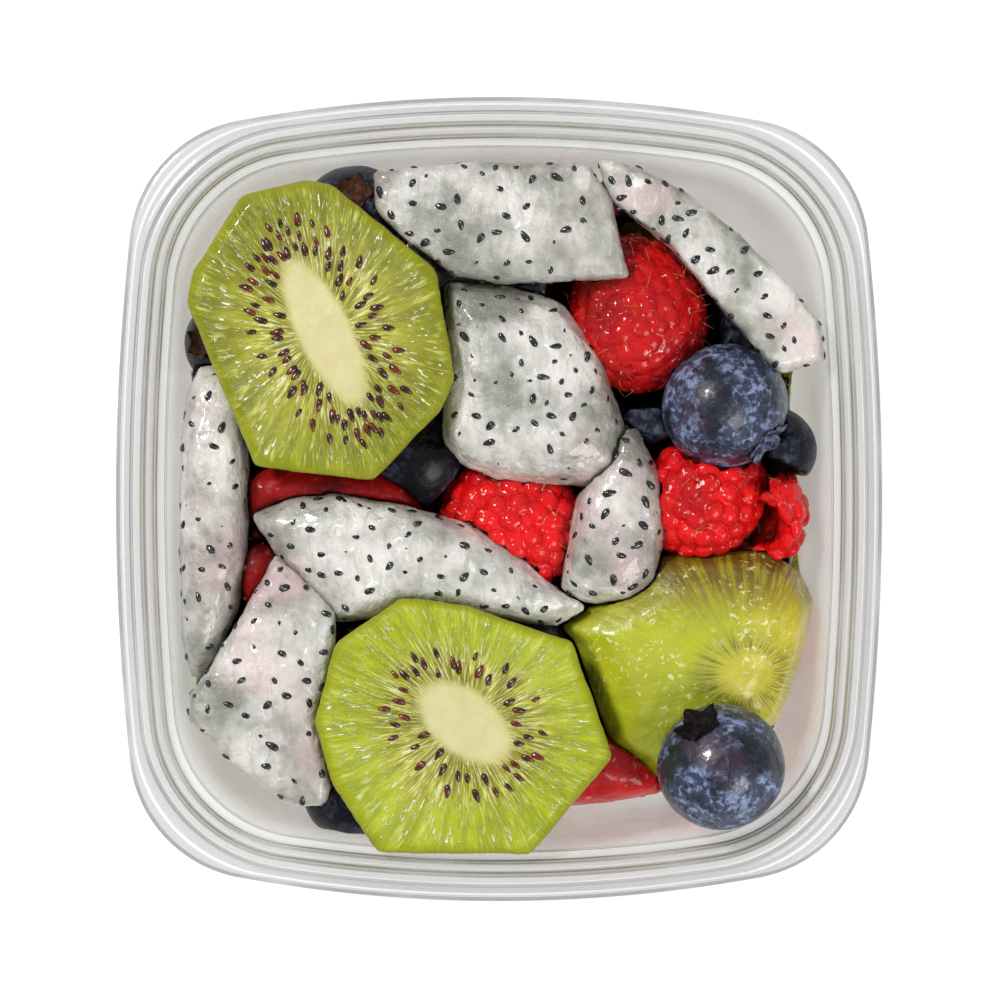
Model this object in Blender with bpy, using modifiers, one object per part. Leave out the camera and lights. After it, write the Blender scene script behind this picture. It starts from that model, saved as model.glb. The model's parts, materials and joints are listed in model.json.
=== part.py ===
# Fruit salad in a clear square tub: kiwi, white dragon fruit, raspberries, strawberries and
# blueberries, heaped to the rim. All sizes below are in millimetres, and MM turns them into metres.
# The origin is under the middle of the tub, +X is its width, +Y its length and +Z is up.

import math
import random

import bmesh
import bpy
from mathutils import Euler, Matrix, Vector

MM = 0.001
GAP = 0.35
WELD = 0.002

# Tub: a bowed rounded rectangle, a stepped rim, and walls that draw in towards the base
TUB_WIDTH = 115.2
TUB_LENGTH = 120.9
SIDE_BOW_RADIUS = 372.0
END_BOW_RADIUS = 218.0
CORNER_RADIUS = 20.0
FLANGE_TOP = 50.0
BEAD_HEIGHT = 2.2
LEDGE_DROP = 3.0
SKIRT_DROP = 1.6
TUB_WALL = 0.5
WALL_INSET = 7.7
WALL_DRAFT = math.radians(5.0)
BASE_ROUNDING = 5.0
CHANNEL_DROP = 0.6
FOLD = 0.4
FLOOR_FOLD = 0.6
SIDE_STEPS = 2
CORNER_STEPS = 5
ROOM_OVER_RIM = 20.0

# Heap of fruit under the pieces on top, inside the wall and inside this outline seen from above
HEAP_CORE_TOP = 38.0
HEAP_CORE_DOME = 1.5
HEAP_CEILING = 42.5
CORE_INSET = 2.4
HEAP_ROWS = (10.5, 24.5, 35.5)
HEAP_COUNTS = (12, 13, 13)
HEAP_KINDS = ("blueberry", "dragon_fruit", "strawberry", "kiwi", "raspberry", "dragon_fruit", "kiwi")
HEAP_SEED = 7
HEAP_SIZES = (0.9, 1.1)
SKIP_CHANCE = 0.3
HEAP_OUTLINE = (
    (48.3, -1.0), (48.3, 6.0), (46.5, 14.0), (47.6, 21.0), (47.2, 25.6), (43.0, 31.0), (35.0, 38.6),
    (29.5, 42.2), (19.5, 48.4), (0.0, 49.4), (-18.0, 48.4), (-29.0, 46.8), (-37.8, 44.4), (-45.0, 34.4),
    (-46.6, 24.0), (-47.4, 14.0), (-48.0, -1.0), (-47.6, -20.0), (-46.6, -27.0), (-46.2, -32.2),
    (-39.4, -38.8), (-31.0, -45.2), (-25.4, -46.4), (-18.0, -52.4), (4.6, -52.6), (9.0, -46.6),
    (15.0, -45.8), (24.0, -44.4), (30.0, -48.4), (37.0, -47.8), (42.0, -40.6), (42.2, -34.0),
    (46.0, -23.6), (47.2, -15.0),
)

# Each kind of heap piece: its sizes, and how far its middle lies from the wall
HEAP_PIECES = {
    "blueberry": {"half": (8.6, 8.6, 8.0), "sunk": 7.4},
    "raspberry": {"half": (9.2, 9.2, 9.0), "sunk": 7.6},
    "strawberry": {"half": (9.0, 11.5, 8.0), "sunk": 6.4},
    "kiwi": {"radius": 13.5, "far_radius": 13.0, "thickness": 9.0, "sunk": 3.6},
    "dragon_fruit": {"sides": (17.0, 14.0, 12.0), "bevel": 2.2, "sunk": 5.4},
}
STRAWBERRY_TAPER = 0.18
DISC_SIDES = 12

# Base colour in linear light and roughness of each kind of fruit and of the tub
FINISHES = {
    "clear_plastic": ((0.86, 0.88, 0.88), 0.08),
    "kiwi_flesh": ((0.36, 0.46, 0.05), 0.35),
    "dragon_fruit_flesh": ((0.74, 0.74, 0.72), 0.35),
    "raspberry_flesh": ((0.55, 0.02, 0.03), 0.4),
    "strawberry_flesh": ((0.48, 0.012, 0.012), 0.35),
    "blueberry_skin": ((0.035, 0.05, 0.11), 0.5),
    "mixed_fruit": ((0.42, 0.16, 0.07), 0.4),
}

# Pieces cut with a knife, as slabs: the outline seen from above, the height of the top face in
# its middle, its slope along X and Y, the thickness, and how far the face bulges.
# Profile: depth below the face as a share of the thickness, and the size of the outline there.
CUT_EDGE = ((0.0, 0.93), (0.12, 1.0), (0.65, 0.96), (1.0, 0.84))
SOFT_EDGE = ((0.02, 0.62), (0.12, 0.88), (0.36, 1.0), (0.7, 0.97), (1.0, 0.74))
BULGE_DEPTH = 0.3

SLABS = {
    "kiwi_slice_left": {
        "outline": [(-38.7, 45.6), (-29.2, 47.9), (-25.0, 47.2), (-16.4, 40.2), (-9.3, 34.3), (-6.5, 18.2),
                    (-8.6, 13.0), (-18.8, 2.6), (-36.5, 4.8), (-41.6, 16.2), (-47.0, 29.2), (-45.8, 34.6)],
        "top": 52.6, "slope": (0.05, -0.04), "thickness": 11.0, "bulge": 0.2,
        "profile": CUT_EDGE, "finish": "kiwi_flesh",
    },
    "kiwi_slice_near": {
        "outline": [(-14.7, -14.7), (-24.6, -21.4), (-27.9, -33.3), (-25.0, -42.8), (-18.3, -53.1),
                    (4.9, -53.4), (17.2, -38.7), (11.1, -21.2), (5.0, -19.3), (-5.1, -15.8)],
        "top": 52.8, "slope": (0.01, 0.02), "thickness": 9.0, "bulge": 0.2,
        "profile": CUT_EDGE, "finish": "kiwi_flesh",
    },
    "kiwi_end": {
        "outline": [(9.2, -19.4), (13.6, -16.5), (25.5, -8.3), (40.3, -7.7), (45.8, -10.8), (48.0, -15.3),
                    (46.5, -23.6), (42.7, -34.2), (33.0, -39.5), (24.3, -42.7), (17.2, -38.0), (11.5, -21.5)],
        "top": 47.5, "slope": (-0.02, 0.03), "thickness": 20.0, "bulge": 1.5,
        "profile": SOFT_EDGE, "finish": "kiwi_flesh",
    },
    "dragon_fruit_far": {
        "outline": [(-19.0, 49.2), (-2.0, 50.6), (13.6, 50.2), (17.0, 44.8), (18.9, 35.5), (20.1, 33.1),
                    (0.2, 32.4), (-6.6, 33.6), (-14.8, 39.6), (-18.6, 43.4)],
        "top": 51.0, "slope": (0.02, 0.0), "thickness": 11.0, "bulge": 1.2,
        "profile": CUT_EDGE, "finish": "dragon_fruit_flesh",
    },
    "dragon_fruit_corner": {
        "outline": [(14.7, 51.2), (20.8, 49.9), (28.0, 46.0), (35.8, 39.9), (44.0, 31.7), (48.2, 26.4),
                    (49.0, 20.4), (42.2, 18.8), (35.8, 26.0), (31.6, 31.0), (25.6, 38.4), (16.4, 45.4)],
        "top": 51.2, "slope": (0.0, 0.0), "thickness": 10.0, "bulge": 0.8,
        "profile": CUT_EDGE, "finish": "dragon_fruit_flesh",
    },
    "dragon_fruit_middle": {
        "outline": [(-8.4, 32.8), (0.2, 32.5), (9.2, 29.8), (15.1, 22.3), (19.3, 10.3), (18.2, 4.3),
                    (13.6, 1.8), (0.2, 2.8), (-5.8, 5.1), (-8.4, 8.8)],
        "top": 50.2, "slope": (-0.03, 0.02), "thickness": 15.0, "bulge": 1.2,
        "profile": SOFT_EDGE, "finish": "dragon_fruit_flesh",
    },
    "dragon_fruit_crescent": {
        "outline": [(-37.6, -2.4), (-31.3, 0.3), (-25.3, 0.9), (-14.8, -0.9), (-4.3, -3.9), (3.1, -8.4),
                    (7.6, -12.9), (13.6, -16.4), (9.1, -19.3), (1.6, -18.4), (-8.9, -16.2), (-20.0, -18.2),
                    (-25.0, -18.6), (-32.8, -9.9)],
        "top": 49.6, "slope": (0.0, 0.02), "thickness": 13.0, "bulge": 1.0,
        "profile": SOFT_EDGE, "finish": "dragon_fruit_flesh",
    },
    "dragon_fruit_right": {
        "outline": [(18.9, 11.8), (21.1, 10.4), (24.2, 4.3), (25.2, -4.6), (23.4, -12.9), (19.6, -15.6),
                    (13.6, -15.9), (9.2, -13.7), (10.6, -6.2), (12.2, 1.3)],
        "top": 48.6, "slope": (0.0, 0.03), "thickness": 13.0, "bulge": 1.2,
        "profile": SOFT_EDGE, "finish": "dragon_fruit_flesh",
    },
    "dragon_fruit_near": {
        "outline": [(-33.6, -8.6), (-29.8, -11.4), (-24.6, -16.6), (-24.6, -21.1), (-27.6, -33.1),
                    (-25.4, -43.6), (-26.1, -46.3), (-31.4, -46.3), (-40.3, -39.9), (-47.1, -33.1),
                    (-47.0, -30.1), (-43.0, -24.5)],
        "top": 48.6, "slope": (0.02, 0.03), "thickness": 12.0, "bulge": 1.0,
        "profile": CUT_EDGE, "finish": "dragon_fruit_flesh",
    },
    "dragon_fruit_left": {
        "outline": [(-45.6, 20.6), (-41.6, 20.6), (-38.9, 16.4), (-38.1, 4.3), (-38.4, -9.2), (-39.6, -16.6),
                    (-42.6, -24.2), (-45.2, -28.0), (-47.1, -26.5), (-48.2, -21.1), (-48.5, -0.2),
                    (-47.8, 14.8)],
        "top": 47.2, "slope": (0.04, 0.0), "thickness": 17.0, "bulge": 0.8,
        "profile": SOFT_EDGE, "finish": "dragon_fruit_flesh",
    },
    "strawberry_left": {
        "outline": [(-38.5, 3.0), (-33.0, 5.6), (-22.0, 6.0), (-13.5, 2.0), (-10.5, -3.0), (-14.0, -7.5),
                    (-25.0, -8.5), (-34.5, -7.0), (-38.5, -2.0)],
        "top": 45.4, "slope": (0.0, 0.0), "thickness": 12.0, "bulge": 1.5,
        "profile": SOFT_EDGE, "finish": "strawberry_flesh",
    },
    "strawberry_edge": {
        "outline": [(-39.4, -7.5), (-36.0, -6.6), (-33.0, -8.5), (-34.0, -13.0), (-37.5, -17.5),
                    (-40.2, -14.0)],
        "top": 43.8, "slope": (0.0, 0.0), "thickness": 10.0, "bulge": 0.8,
        "profile": SOFT_EDGE, "finish": "strawberry_flesh",
    },
    "strawberry_near": {
        "outline": [(5.0, -38.0), (14.0, -34.5), (21.0, -36.0), (25.5, -41.0), (24.6, -44.9), (15.0, -46.4),
                    (6.0, -47.2)],
        "top": 43.4, "slope": (0.0, 0.0), "thickness": 12.0, "bulge": 1.5,
        "profile": SOFT_EDGE, "finish": "strawberry_flesh",
    },
}

# Whole berries: the centre, the half sizes, and the turn about X, Y and Z in degrees.
# The crown of a blueberry and the open end of a raspberry point along the berry's own +Z.
BLUEBERRIES = {
    "blueberry_near": {"at": (33.2, -40.1, 51.6), "half": (9.7, 9.5, 9.2), "turn": (-48, -37, 0)},
    "blueberry_right": {"at": (34.2, 14.1, 44.2), "half": (10.4, 9.6, 9.2), "turn": (41, 65, 0)},
    "blueberry_far_left": {"at": (-22.0, 43.4, 38.2), "half": (8.0, 7.6, 7.4), "turn": (10, 8, 0)},
    "blueberry_far_right": {"at": (33.2, 28.2, 35.4), "half": (8.4, 8.2, 7.8), "turn": (20, 10, 0)},
    "blueberry_middle": {"at": (-12.2, 6.2, 38.2), "half": (8.2, 8.2, 7.8), "turn": (-30, 20, 0)},
    "blueberry_centre": {"at": (22.6, 12.4, 36.0), "half": (7.6, 7.6, 7.2), "turn": (30, 0, 0)},
    "blueberry_edge": {"at": (42.2, 7.6, 37.2), "half": (6.4, 6.4, 6.2), "turn": (-20, 20, 0)},
    "blueberry_left": {"at": (-41.4, 23.8, 37.0), "half": (6.8, 6.8, 6.6), "turn": (10, -20, 0)},
    "blueberry_near_left": {"at": (-22.6, -44.6, 37.6), "half": (7.4, 7.4, 7.0), "turn": (0, 10, 0)},
}
RASPBERRIES = {
    "raspberry_far": {"at": (21.0, 28.4, 40.0), "half": (11.0, 10.2, 13.0), "turn": (78, 0, 12)},
    "raspberry_middle": {"at": (1.8, -3.6, 38.2), "half": (10.6, 9.6, 11.8), "turn": (84, 0, 62)},
    "raspberry_right": {"at": (31.4, 0.6, 39.4), "half": (9.6, 9.0, 11.0), "turn": (70, 0, -50)},
}
WHOLE_IN_VIEW = ("blueberry_near", "blueberry_right")
OPEN_RASPBERRY = {"at": (41.2, -2.4, 40.0), "half": (6.2, 7.2, 8.6), "turn": (24, -16, 0)}

# Columns and rows of faces on each kind of berry, and on the ball that clears the room round a raspberry
BERRY_SIDES = (20, 10)
HIDDEN_BERRY_SIDES = (10, 7)
RASPBERRY_SIDES = (22, 12)
OPEN_RASPBERRY_SIDES = (14, 12)
CUTTER_SIDES = (14, 7)
HEAP_BERRY_SIDES = (10, 5)
HEAP_RASPBERRY_SIDES = (12, 6)
CROWN_LOBES = 5
CROWN_DEPTH, CROWN_RISE = 1.1, 0.7
DRUPELET_RISE = 0.55
DRUPELET_CLEARANCE = 0.3
RASPBERRY_TAPER = 0.12
CUTTER_TAPER = 0.1
CUTTER_GROWTH = 1.06
HOLLOW_SHARE = 0.62
LIP_SHARE = 0.28
PIT_DEPTH = 0.8


def clear_scene():
    for old in list(bpy.data.objects):
        bpy.data.objects.remove(old, do_unlink=True)


def new_collection(name, hidden=False):
    collection = bpy.data.collections.new(name)
    collection.hide_render = hidden
    bpy.context.scene.collection.children.link(collection)
    return collection


def remove_collection(collection):
    for obj in list(collection.objects):
        bpy.data.objects.remove(obj, do_unlink=True)
    bpy.data.collections.remove(collection)


def finish_material(name):
    colour, roughness = FINISHES[name]
    material = bpy.data.materials.get(name) or bpy.data.materials.new(name)
    material.use_nodes = True
    shader = material.node_tree.nodes["Principled BSDF"]
    shader.inputs["Base Color"].default_value = (*colour, 1.0)
    shader.inputs["Roughness"].default_value = roughness
    shader.inputs["Metallic"].default_value = 0.0
    return material


def add_object(name, mesh_builder, collection, finish=None, at=(0.0, 0.0, 0.0), turn=(0.0, 0.0, 0.0)):
    """Makes an object of a bmesh in millimetres, outward normals first, at a place in millimetres."""
    bmesh.ops.recalc_face_normals(mesh_builder, faces=mesh_builder.faces)
    bmesh.ops.scale(mesh_builder, vec=(MM, MM, MM), verts=mesh_builder.verts)
    mesh = bpy.data.meshes.new(name)
    mesh_builder.to_mesh(mesh)
    mesh_builder.free()
    obj = bpy.data.objects.new(name, mesh)
    obj.location = Vector(at) * MM
    obj.rotation_euler = Euler([math.radians(angle) for angle in turn])
    obj.display_type = "WIRE" if collection.hide_render else "TEXTURED"
    collection.objects.link(obj)
    if finish:
        mesh.materials.append(finish_material(finish))
    return obj


def loft(rings, start=None, end=None):
    """A skin through rings of as many points each, closed by a fan to a start and an end point."""
    skin = bmesh.new()
    loops = [[skin.verts.new(point) for point in ring] for ring in rings]
    for near, far in zip(loops, loops[1:]):
        for k in range(len(near)):
            after = (k + 1) % len(near)
            skin.faces.new((near[k], near[after], far[after], far[k]))
    for loop, tip in ((loops[0], start), (loops[-1], end)):
        if tip is None:
            continue
        point = skin.verts.new(tip)
        for k in range(len(loop)):
            skin.faces.new((loop[k], loop[(k + 1) % len(loop)], point))
    return skin


# Tub

def fillet_centre(side_radius, end_radius, corner_radius):
    """Where a corner arc's centre lies, touching the side arc and the end arc from inside."""
    side_x = TUB_WIDTH / 2 - SIDE_BOW_RADIUS
    end_y = TUB_LENGTH / 2 - END_BOW_RADIUS
    to_side = side_radius - corner_radius
    to_end = end_radius - corner_radius
    between = math.hypot(side_x, end_y)
    along = (to_side ** 2 - to_end ** 2 + between ** 2) / (2 * between)
    off = math.sqrt(to_side ** 2 - along ** 2)
    ux, uy = -side_x / between, end_y / between
    return side_x + ux * along - uy * off, uy * along + ux * off


def tub_ring(inset, corner_growth, z):
    """The tub's outline drawn in by inset, with corners rounder by corner_growth, at height z."""
    side_radius = SIDE_BOW_RADIUS - inset
    end_radius = END_BOW_RADIUS - inset
    corner_radius = CORNER_RADIUS + corner_growth
    side_x = TUB_WIDTH / 2 - SIDE_BOW_RADIUS
    end_y = TUB_LENGTH / 2 - END_BOW_RADIUS
    corner_x, corner_y = fillet_centre(side_radius, end_radius, corner_radius)
    side_angle = math.atan2(corner_y, corner_x - side_x)
    end_angle = math.atan2(corner_y - end_y, corner_x)
    quarter = []
    for k in range(SIDE_STEPS):
        angle = side_angle * k / SIDE_STEPS
        quarter.append((side_x + side_radius * math.cos(angle), side_radius * math.sin(angle)))
    for k in range(CORNER_STEPS + 1):
        angle = side_angle + (end_angle - side_angle) * k / CORNER_STEPS
        x = corner_x + corner_radius * math.cos(angle)
        y = corner_y + corner_radius * math.sin(angle)
        quarter.append((x, y))
    for k in range(1, SIDE_STEPS + 1):
        angle = end_angle + (math.pi / 2 - end_angle) * k / SIDE_STEPS
        quarter.append((end_radius * math.cos(angle), end_y + end_radius * math.sin(angle)))
    half = quarter + [(-x, y) for x, y in reversed(quarter[:-1])]
    whole = half + [(x, -y) for x, y in reversed(half[1:-1])]
    return [Vector((x, y, z)) for x, y in whole]


def wall_inset(z, clearance=0.0):
    """How far the cup's inner wall lies inside the tub's edge at height z."""
    ledge = FLANGE_TOP - LEDGE_DROP
    rounding = max(0.0, TUB_WALL + BASE_ROUNDING - z) / BASE_ROUNDING
    corner = BASE_ROUNDING * (1 - math.sqrt(max(0.0, 1 - rounding ** 2)))
    return WALL_INSET + (ledge - z) * math.tan(WALL_DRAFT) + corner + clearance


def rim_profile():
    """Inset, corner growth and height of the upper surface, from the skirt's edge to the cup."""
    bead = FLANGE_TOP + BEAD_HEIGHT
    channel = FLANGE_TOP - CHANNEL_DROP
    ledge = FLANGE_TOP - LEDGE_DROP
    return [
        (0.0, 0.0, FLANGE_TOP - SKIRT_DROP),
        (0.1, 0.0, FLANGE_TOP - FOLD),
        (0.5, 1.5, FLANGE_TOP),
        (2.2, 4.6, FLANGE_TOP),
        (2.5, 4.6, bead - FOLD),
        (2.9, 4.2, bead),
        (4.0, 3.0, bead),
        (4.4, 2.6, bead - FOLD),
        (4.7, 2.4, channel),
        (5.9, 1.0, channel),
        (6.2, 0.9, ledge),
        (7.3, 0.4, ledge),
    ]


def cup_profile(clearance=0.0):
    """Inset, corner growth and height of the cup's inner wall, from the ledge to the base."""
    floor = TUB_WALL + clearance
    ledge = FLANGE_TOP - LEDGE_DROP
    levels = [ledge - FOLD, TUB_WALL + BASE_ROUNDING]
    levels += [TUB_WALL + BASE_ROUNDING * share for share in (0.5, 0.16)]
    rings = [(wall_inset(z, clearance), FOLD - clearance, max(z, floor)) for z in levels]
    rings.append((wall_inset(TUB_WALL, clearance) + FLOOR_FOLD, 0.0, floor))
    return rings


def build_tub(collection):
    """The upper surface of the whole tub as one open skin, thickened downwards and outwards."""
    rings = [tub_ring(*ring) for ring in rim_profile() + cup_profile()]
    tub = add_object("tub", loft(rings, end=Vector((0.0, 0.0, TUB_WALL))), collection, "clear_plastic")
    thickness = tub.modifiers.new("wall thickness", "SOLIDIFY")
    thickness.thickness = TUB_WALL * MM
    thickness.offset = -1.0
    thickness.use_even_offset = True
    return tub


def build_room(collection):
    """The room that fruit may fill: the cup's inside and the space over its rim, GAP clear."""
    rings = [tub_ring(inset + GAP, growth, z + GAP) for inset, growth, z in rim_profile()[2:]]
    rings += [tub_ring(*ring) for ring in cup_profile(GAP)]
    over = FLANGE_TOP + ROOM_OVER_RIM
    outermost = rings[0]
    rings.insert(0, [Vector((point.x, point.y, over)) for point in outermost])
    room = loft(rings, start=Vector((0.0, 0.0, over)), end=Vector((0.0, 0.0, TUB_WALL + GAP)))
    return add_object("room", room, collection)


def build_heap_room(collection):
    """The part of the cup's inside that the heap may fill, up to HEAP_CEILING."""
    rings = [tub_ring(wall_inset(HEAP_CEILING, GAP), FOLD - GAP, HEAP_CEILING)]
    rings += [tub_ring(*ring) for ring in cup_profile(GAP)[1:]]
    top = Vector((0.0, 0.0, HEAP_CEILING))
    bottom = Vector((0.0, 0.0, TUB_WALL + GAP))
    return add_object("heap room", loft(rings, start=top, end=bottom), collection)


def build_heap_outline(collection):
    """An upright prism over the heap's outline, from under the tub to over the heap."""
    low, high = -1.0, HEAP_CEILING + 1.0
    rings = [[Vector((x, y, z)) for x, y in HEAP_OUTLINE] for z in (high, low)]
    prism = loft(rings, start=Vector((0.0, 0.0, high)), end=Vector((0.0, 0.0, low)))
    return add_object("heap outline", prism, collection)


# Fruit shapes

def middle_of(outline):
    return sum((Vector(point) for point in outline), Vector((0.0, 0.0))) / len(outline)


def slab_mesh(slab):
    """A cut piece about its own middle: rings of its outline, from the face down to the underside."""
    middle = middle_of(slab["outline"])
    spokes = [Vector(point) - middle for point in slab["outline"]]
    slope = Vector(slab["slope"])
    rings = []
    for depth, size in slab["profile"]:
        ring = []
        for spoke in spokes:
            place = spoke * size
            lift = slab["bulge"] * (1 - size) if depth < BULGE_DEPTH else 0.0
            z = slope.dot(place) + lift - depth * slab["thickness"]
            ring.append(Vector((place.x, place.y, z)))
        rings.append(ring)
    top = Vector((0.0, 0.0, slab["bulge"]))
    bottom = Vector((0.0, 0.0, -slab["thickness"]))
    return loft(rings, start=top, end=bottom)


def ball_mesh(columns, rows, radius_of):
    """A closed ball of latitude rows; radius_of(row, column, polar angle, turn) gives a point."""
    rings = []
    for row in range(1, rows):
        polar = math.pi * row / rows
        ring = []
        for column in range(columns):
            turn = 2 * math.pi * column / columns
            ring.append(radius_of(row, column, polar, turn))
        rings.append(ring)
    return loft(rings, start=radius_of(0, 0, 0.0, 0.0), end=radius_of(rows, 0, math.pi, 0.0))


def on_ellipsoid(half, polar, turn, share=1.0):
    return Vector((
        half[0] * math.sin(polar) * math.cos(turn) * share,
        half[1] * math.sin(polar) * math.sin(turn) * share,
        half[2] * math.cos(polar) * share,
    ))


def blueberry_mesh(half, columns, rows):
    """A berry whose top row stands up as a crown of lobes round a sunken eye."""
    def place(row, column, polar, turn):
        point = on_ellipsoid(half, polar, turn)
        if row == 0:
            point.z -= CROWN_DEPTH
        if row == 1:
            lobe = max(0.0, math.cos(CROWN_LOBES * turn))
            point.z += CROWN_RISE * lobe
        return point
    return ball_mesh(columns, rows, place)


def raspberry_point(half, row, column, polar, turn):
    """Drupelets stand out in staggered rows, and the berry narrows to its tip."""
    stands_out = (row + column) % 2 == 0
    share = 1.0 + (DRUPELET_RISE if stands_out else -DRUPELET_RISE) / half[0]
    taper = 1.0 + RASPBERRY_TAPER * math.cos(polar)
    point = on_ellipsoid(half, polar, turn, share)
    return Vector((point.x * taper, point.y * taper, point.z))


def split_between_low_corners(skin, half):
    """Splits each four-sided face along its two low corners, so that each drupelet stands alone."""
    def height(vert):
        return sum((vert.co[axis] / half[axis]) ** 2 for axis in range(3))
    for face in [face for face in skin.faces if len(face.verts) == 4]:
        first, second, third, fourth = face.verts
        if height(first) + height(third) < height(second) + height(fourth):
            bmesh.utils.face_split(face, first, third)
        else:
            bmesh.utils.face_split(face, second, fourth)
    return skin


def raspberry_mesh(half, columns, rows):
    def place(row, column, polar, turn):
        return raspberry_point(half, row, column, polar, turn)
    return split_between_low_corners(ball_mesh(columns, rows, place), half)


def strawberry_mesh(half, columns, rows):
    """An egg that narrows along its own +Y."""
    def place(row, column, polar, turn):
        return on_ellipsoid(half, polar, turn, 1.0 - STRAWBERRY_TAPER * math.sin(polar) * math.sin(turn))
    return ball_mesh(columns, rows, place)


def open_raspberry_mesh(half, columns, rows):
    """A raspberry off its stalk: the skin runs from the tip up to the lip and down the hollow."""
    first_row = round(rows * LIP_SHARE)
    outside = []
    inside = []
    for row in range(first_row, rows):
        polar = math.pi * row / rows
        ring = []
        hollow = []
        for column in range(columns):
            turn = 2 * math.pi * column / columns
            ring.append(raspberry_point(half, row, column, polar, turn))
            hollow.append(on_ellipsoid(half, polar, turn, HOLLOW_SHARE))
        outside.append(ring)
        inside.append(hollow)
    tip = on_ellipsoid(half, math.pi, 0.0)
    pit = on_ellipsoid(half, math.pi, 0.0, HOLLOW_SHARE)
    hollow_rows = rows * 2 // 3 - first_row
    skin = list(reversed(inside[:hollow_rows])) + outside
    deepest = inside[hollow_rows - 1][0].z
    return loft(skin, start=Vector((0.0, 0.0, max(pit.z, deepest - PIT_DEPTH))), end=tip)


# Cutting pieces clear of those above them

def swollen_copy(obj, gap, collection):
    """A copy drawn out by gap along its normals, to cut the pieces below it clear of it."""
    swollen = bmesh.new()
    swollen.from_mesh(obj.data)
    swollen.normal_update()
    moves = [vert.normal * vert.calc_shell_factor() * gap * MM for vert in swollen.verts]
    for vert, move in zip(swollen.verts, moves):
        vert.co += move
    mesh = bpy.data.meshes.new("clear of " + obj.name)
    swollen.to_mesh(mesh)
    swollen.free()
    copy = bpy.data.objects.new("clear of " + obj.name, mesh)
    copy.matrix_world = obj.matrix_world
    copy.display_type = "WIRE"
    collection.objects.link(copy)
    return copy


def box_of(obj):
    corners = [obj.matrix_world @ vert.co for vert in obj.data.vertices]
    low = [min(corner[axis] for corner in corners) for axis in range(3)]
    high = [max(corner[axis] for corner in corners) for axis in range(3)]
    return low, high


def boxes_meet(first, second):
    low_a, high_a = box_of(first)
    low_b, high_b = box_of(second)
    return all(low_a[axis] < high_b[axis] and low_b[axis] < high_a[axis] for axis in range(3))


def add_boolean(obj, other, operation, solver="EXACT"):
    modifier = obj.modifiers.new(operation.lower(), "BOOLEAN")
    modifier.operation = operation
    modifier.solver = solver
    if isinstance(other, bpy.types.Collection):
        modifier.operand_type = "COLLECTION"
        modifier.collection = other
    else:
        modifier.object = other
    return modifier


def apply_modifiers(obj):
    """Bakes the modifiers into the mesh and keeps its largest body, as cutting may leave scraps."""
    bpy.context.view_layer.update()
    graph = bpy.context.evaluated_depsgraph_get()
    baked = bpy.data.meshes.new_from_object(obj.evaluated_get(graph))
    obj.modifiers.clear()
    obj.data = baked
    keep_largest_body(obj)


def keep_largest_body(obj):
    body = bmesh.new()
    body.from_mesh(obj.data)
    bmesh.ops.dissolve_degenerate(body, dist=WELD * MM, edges=body.edges)
    left = set(body.faces)
    islands = []
    while left:
        island = []
        front = [left.pop()]
        while front:
            face = front.pop()
            island.append(face)
            for edge in face.edges:
                if len(edge.link_faces) != 2:
                    continue
                for other in edge.link_faces:
                    if other in left:
                        left.remove(other)
                        front.append(other)
        islands.append(island)
    islands.sort(key=lambda island: sum(face.calc_area() for face in island), reverse=True)
    for scrap in islands[1:]:
        bmesh.ops.delete(body, geom=scrap, context="FACES")
    body.to_mesh(obj.data)
    body.free()


# Pieces on top, built from the highest down, each cut clear of those already there

TOP_DOWN = (
    "blueberry_near", "kiwi_slice_left", "kiwi_slice_near", "dragon_fruit_far", "dragon_fruit_corner",
    "blueberry_right", "dragon_fruit_middle", "dragon_fruit_crescent", "dragon_fruit_right", "kiwi_end",
    "raspberry_far", "raspberry_right", "dragon_fruit_near", "dragon_fruit_left", "raspberry_middle",
    "raspberry_open", "strawberry_left", "strawberry_near", "strawberry_edge", "blueberry_far_left",
    "blueberry_far_right", "blueberry_middle", "blueberry_centre", "blueberry_edge", "blueberry_left",
    "blueberry_near_left",
)


def build_piece(name, collection):
    if name in SLABS:
        slab = SLABS[name]
        middle = middle_of(slab["outline"])
        place = (middle.x, middle.y, slab["top"])
        return add_object(name, slab_mesh(slab), collection, slab["finish"], place)
    if name in BLUEBERRIES:
        berry = BLUEBERRIES[name]
        sides = BERRY_SIDES if name in WHOLE_IN_VIEW else HIDDEN_BERRY_SIDES
        mesh = blueberry_mesh(berry["half"], *sides)
        return add_object(name, mesh, collection, "blueberry_skin", berry["at"], berry["turn"])
    if name in RASPBERRIES:
        berry = RASPBERRIES[name]
        mesh = raspberry_mesh(berry["half"], *RASPBERRY_SIDES)
    else:
        berry = OPEN_RASPBERRY
        mesh = open_raspberry_mesh(berry["half"], *OPEN_RASPBERRY_SIDES)
    return add_object(name, mesh, collection, "raspberry_flesh", berry["at"], berry["turn"])


def build_cutter(name, piece, collection):
    """The plain shape of a piece, drawn out by GAP; a raspberry's is its ball without drupelets."""
    berry = RASPBERRIES.get(name) or (OPEN_RASPBERRY if name == "raspberry_open" else None)
    if berry is None:
        return swollen_copy(piece, GAP, collection)
    margin = DRUPELET_RISE + DRUPELET_CLEARANCE + GAP
    half = [size * CUTTER_GROWTH + margin for size in berry["half"]]

    def place(row, column, polar, turn):
        return on_ellipsoid(half, polar, turn, 1.0 + CUTTER_TAPER * math.cos(polar) * math.sin(polar))
    mesh = ball_mesh(*CUTTER_SIDES, place)
    return add_object("clear of " + name, mesh, collection, None, berry["at"], berry["turn"])


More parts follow.
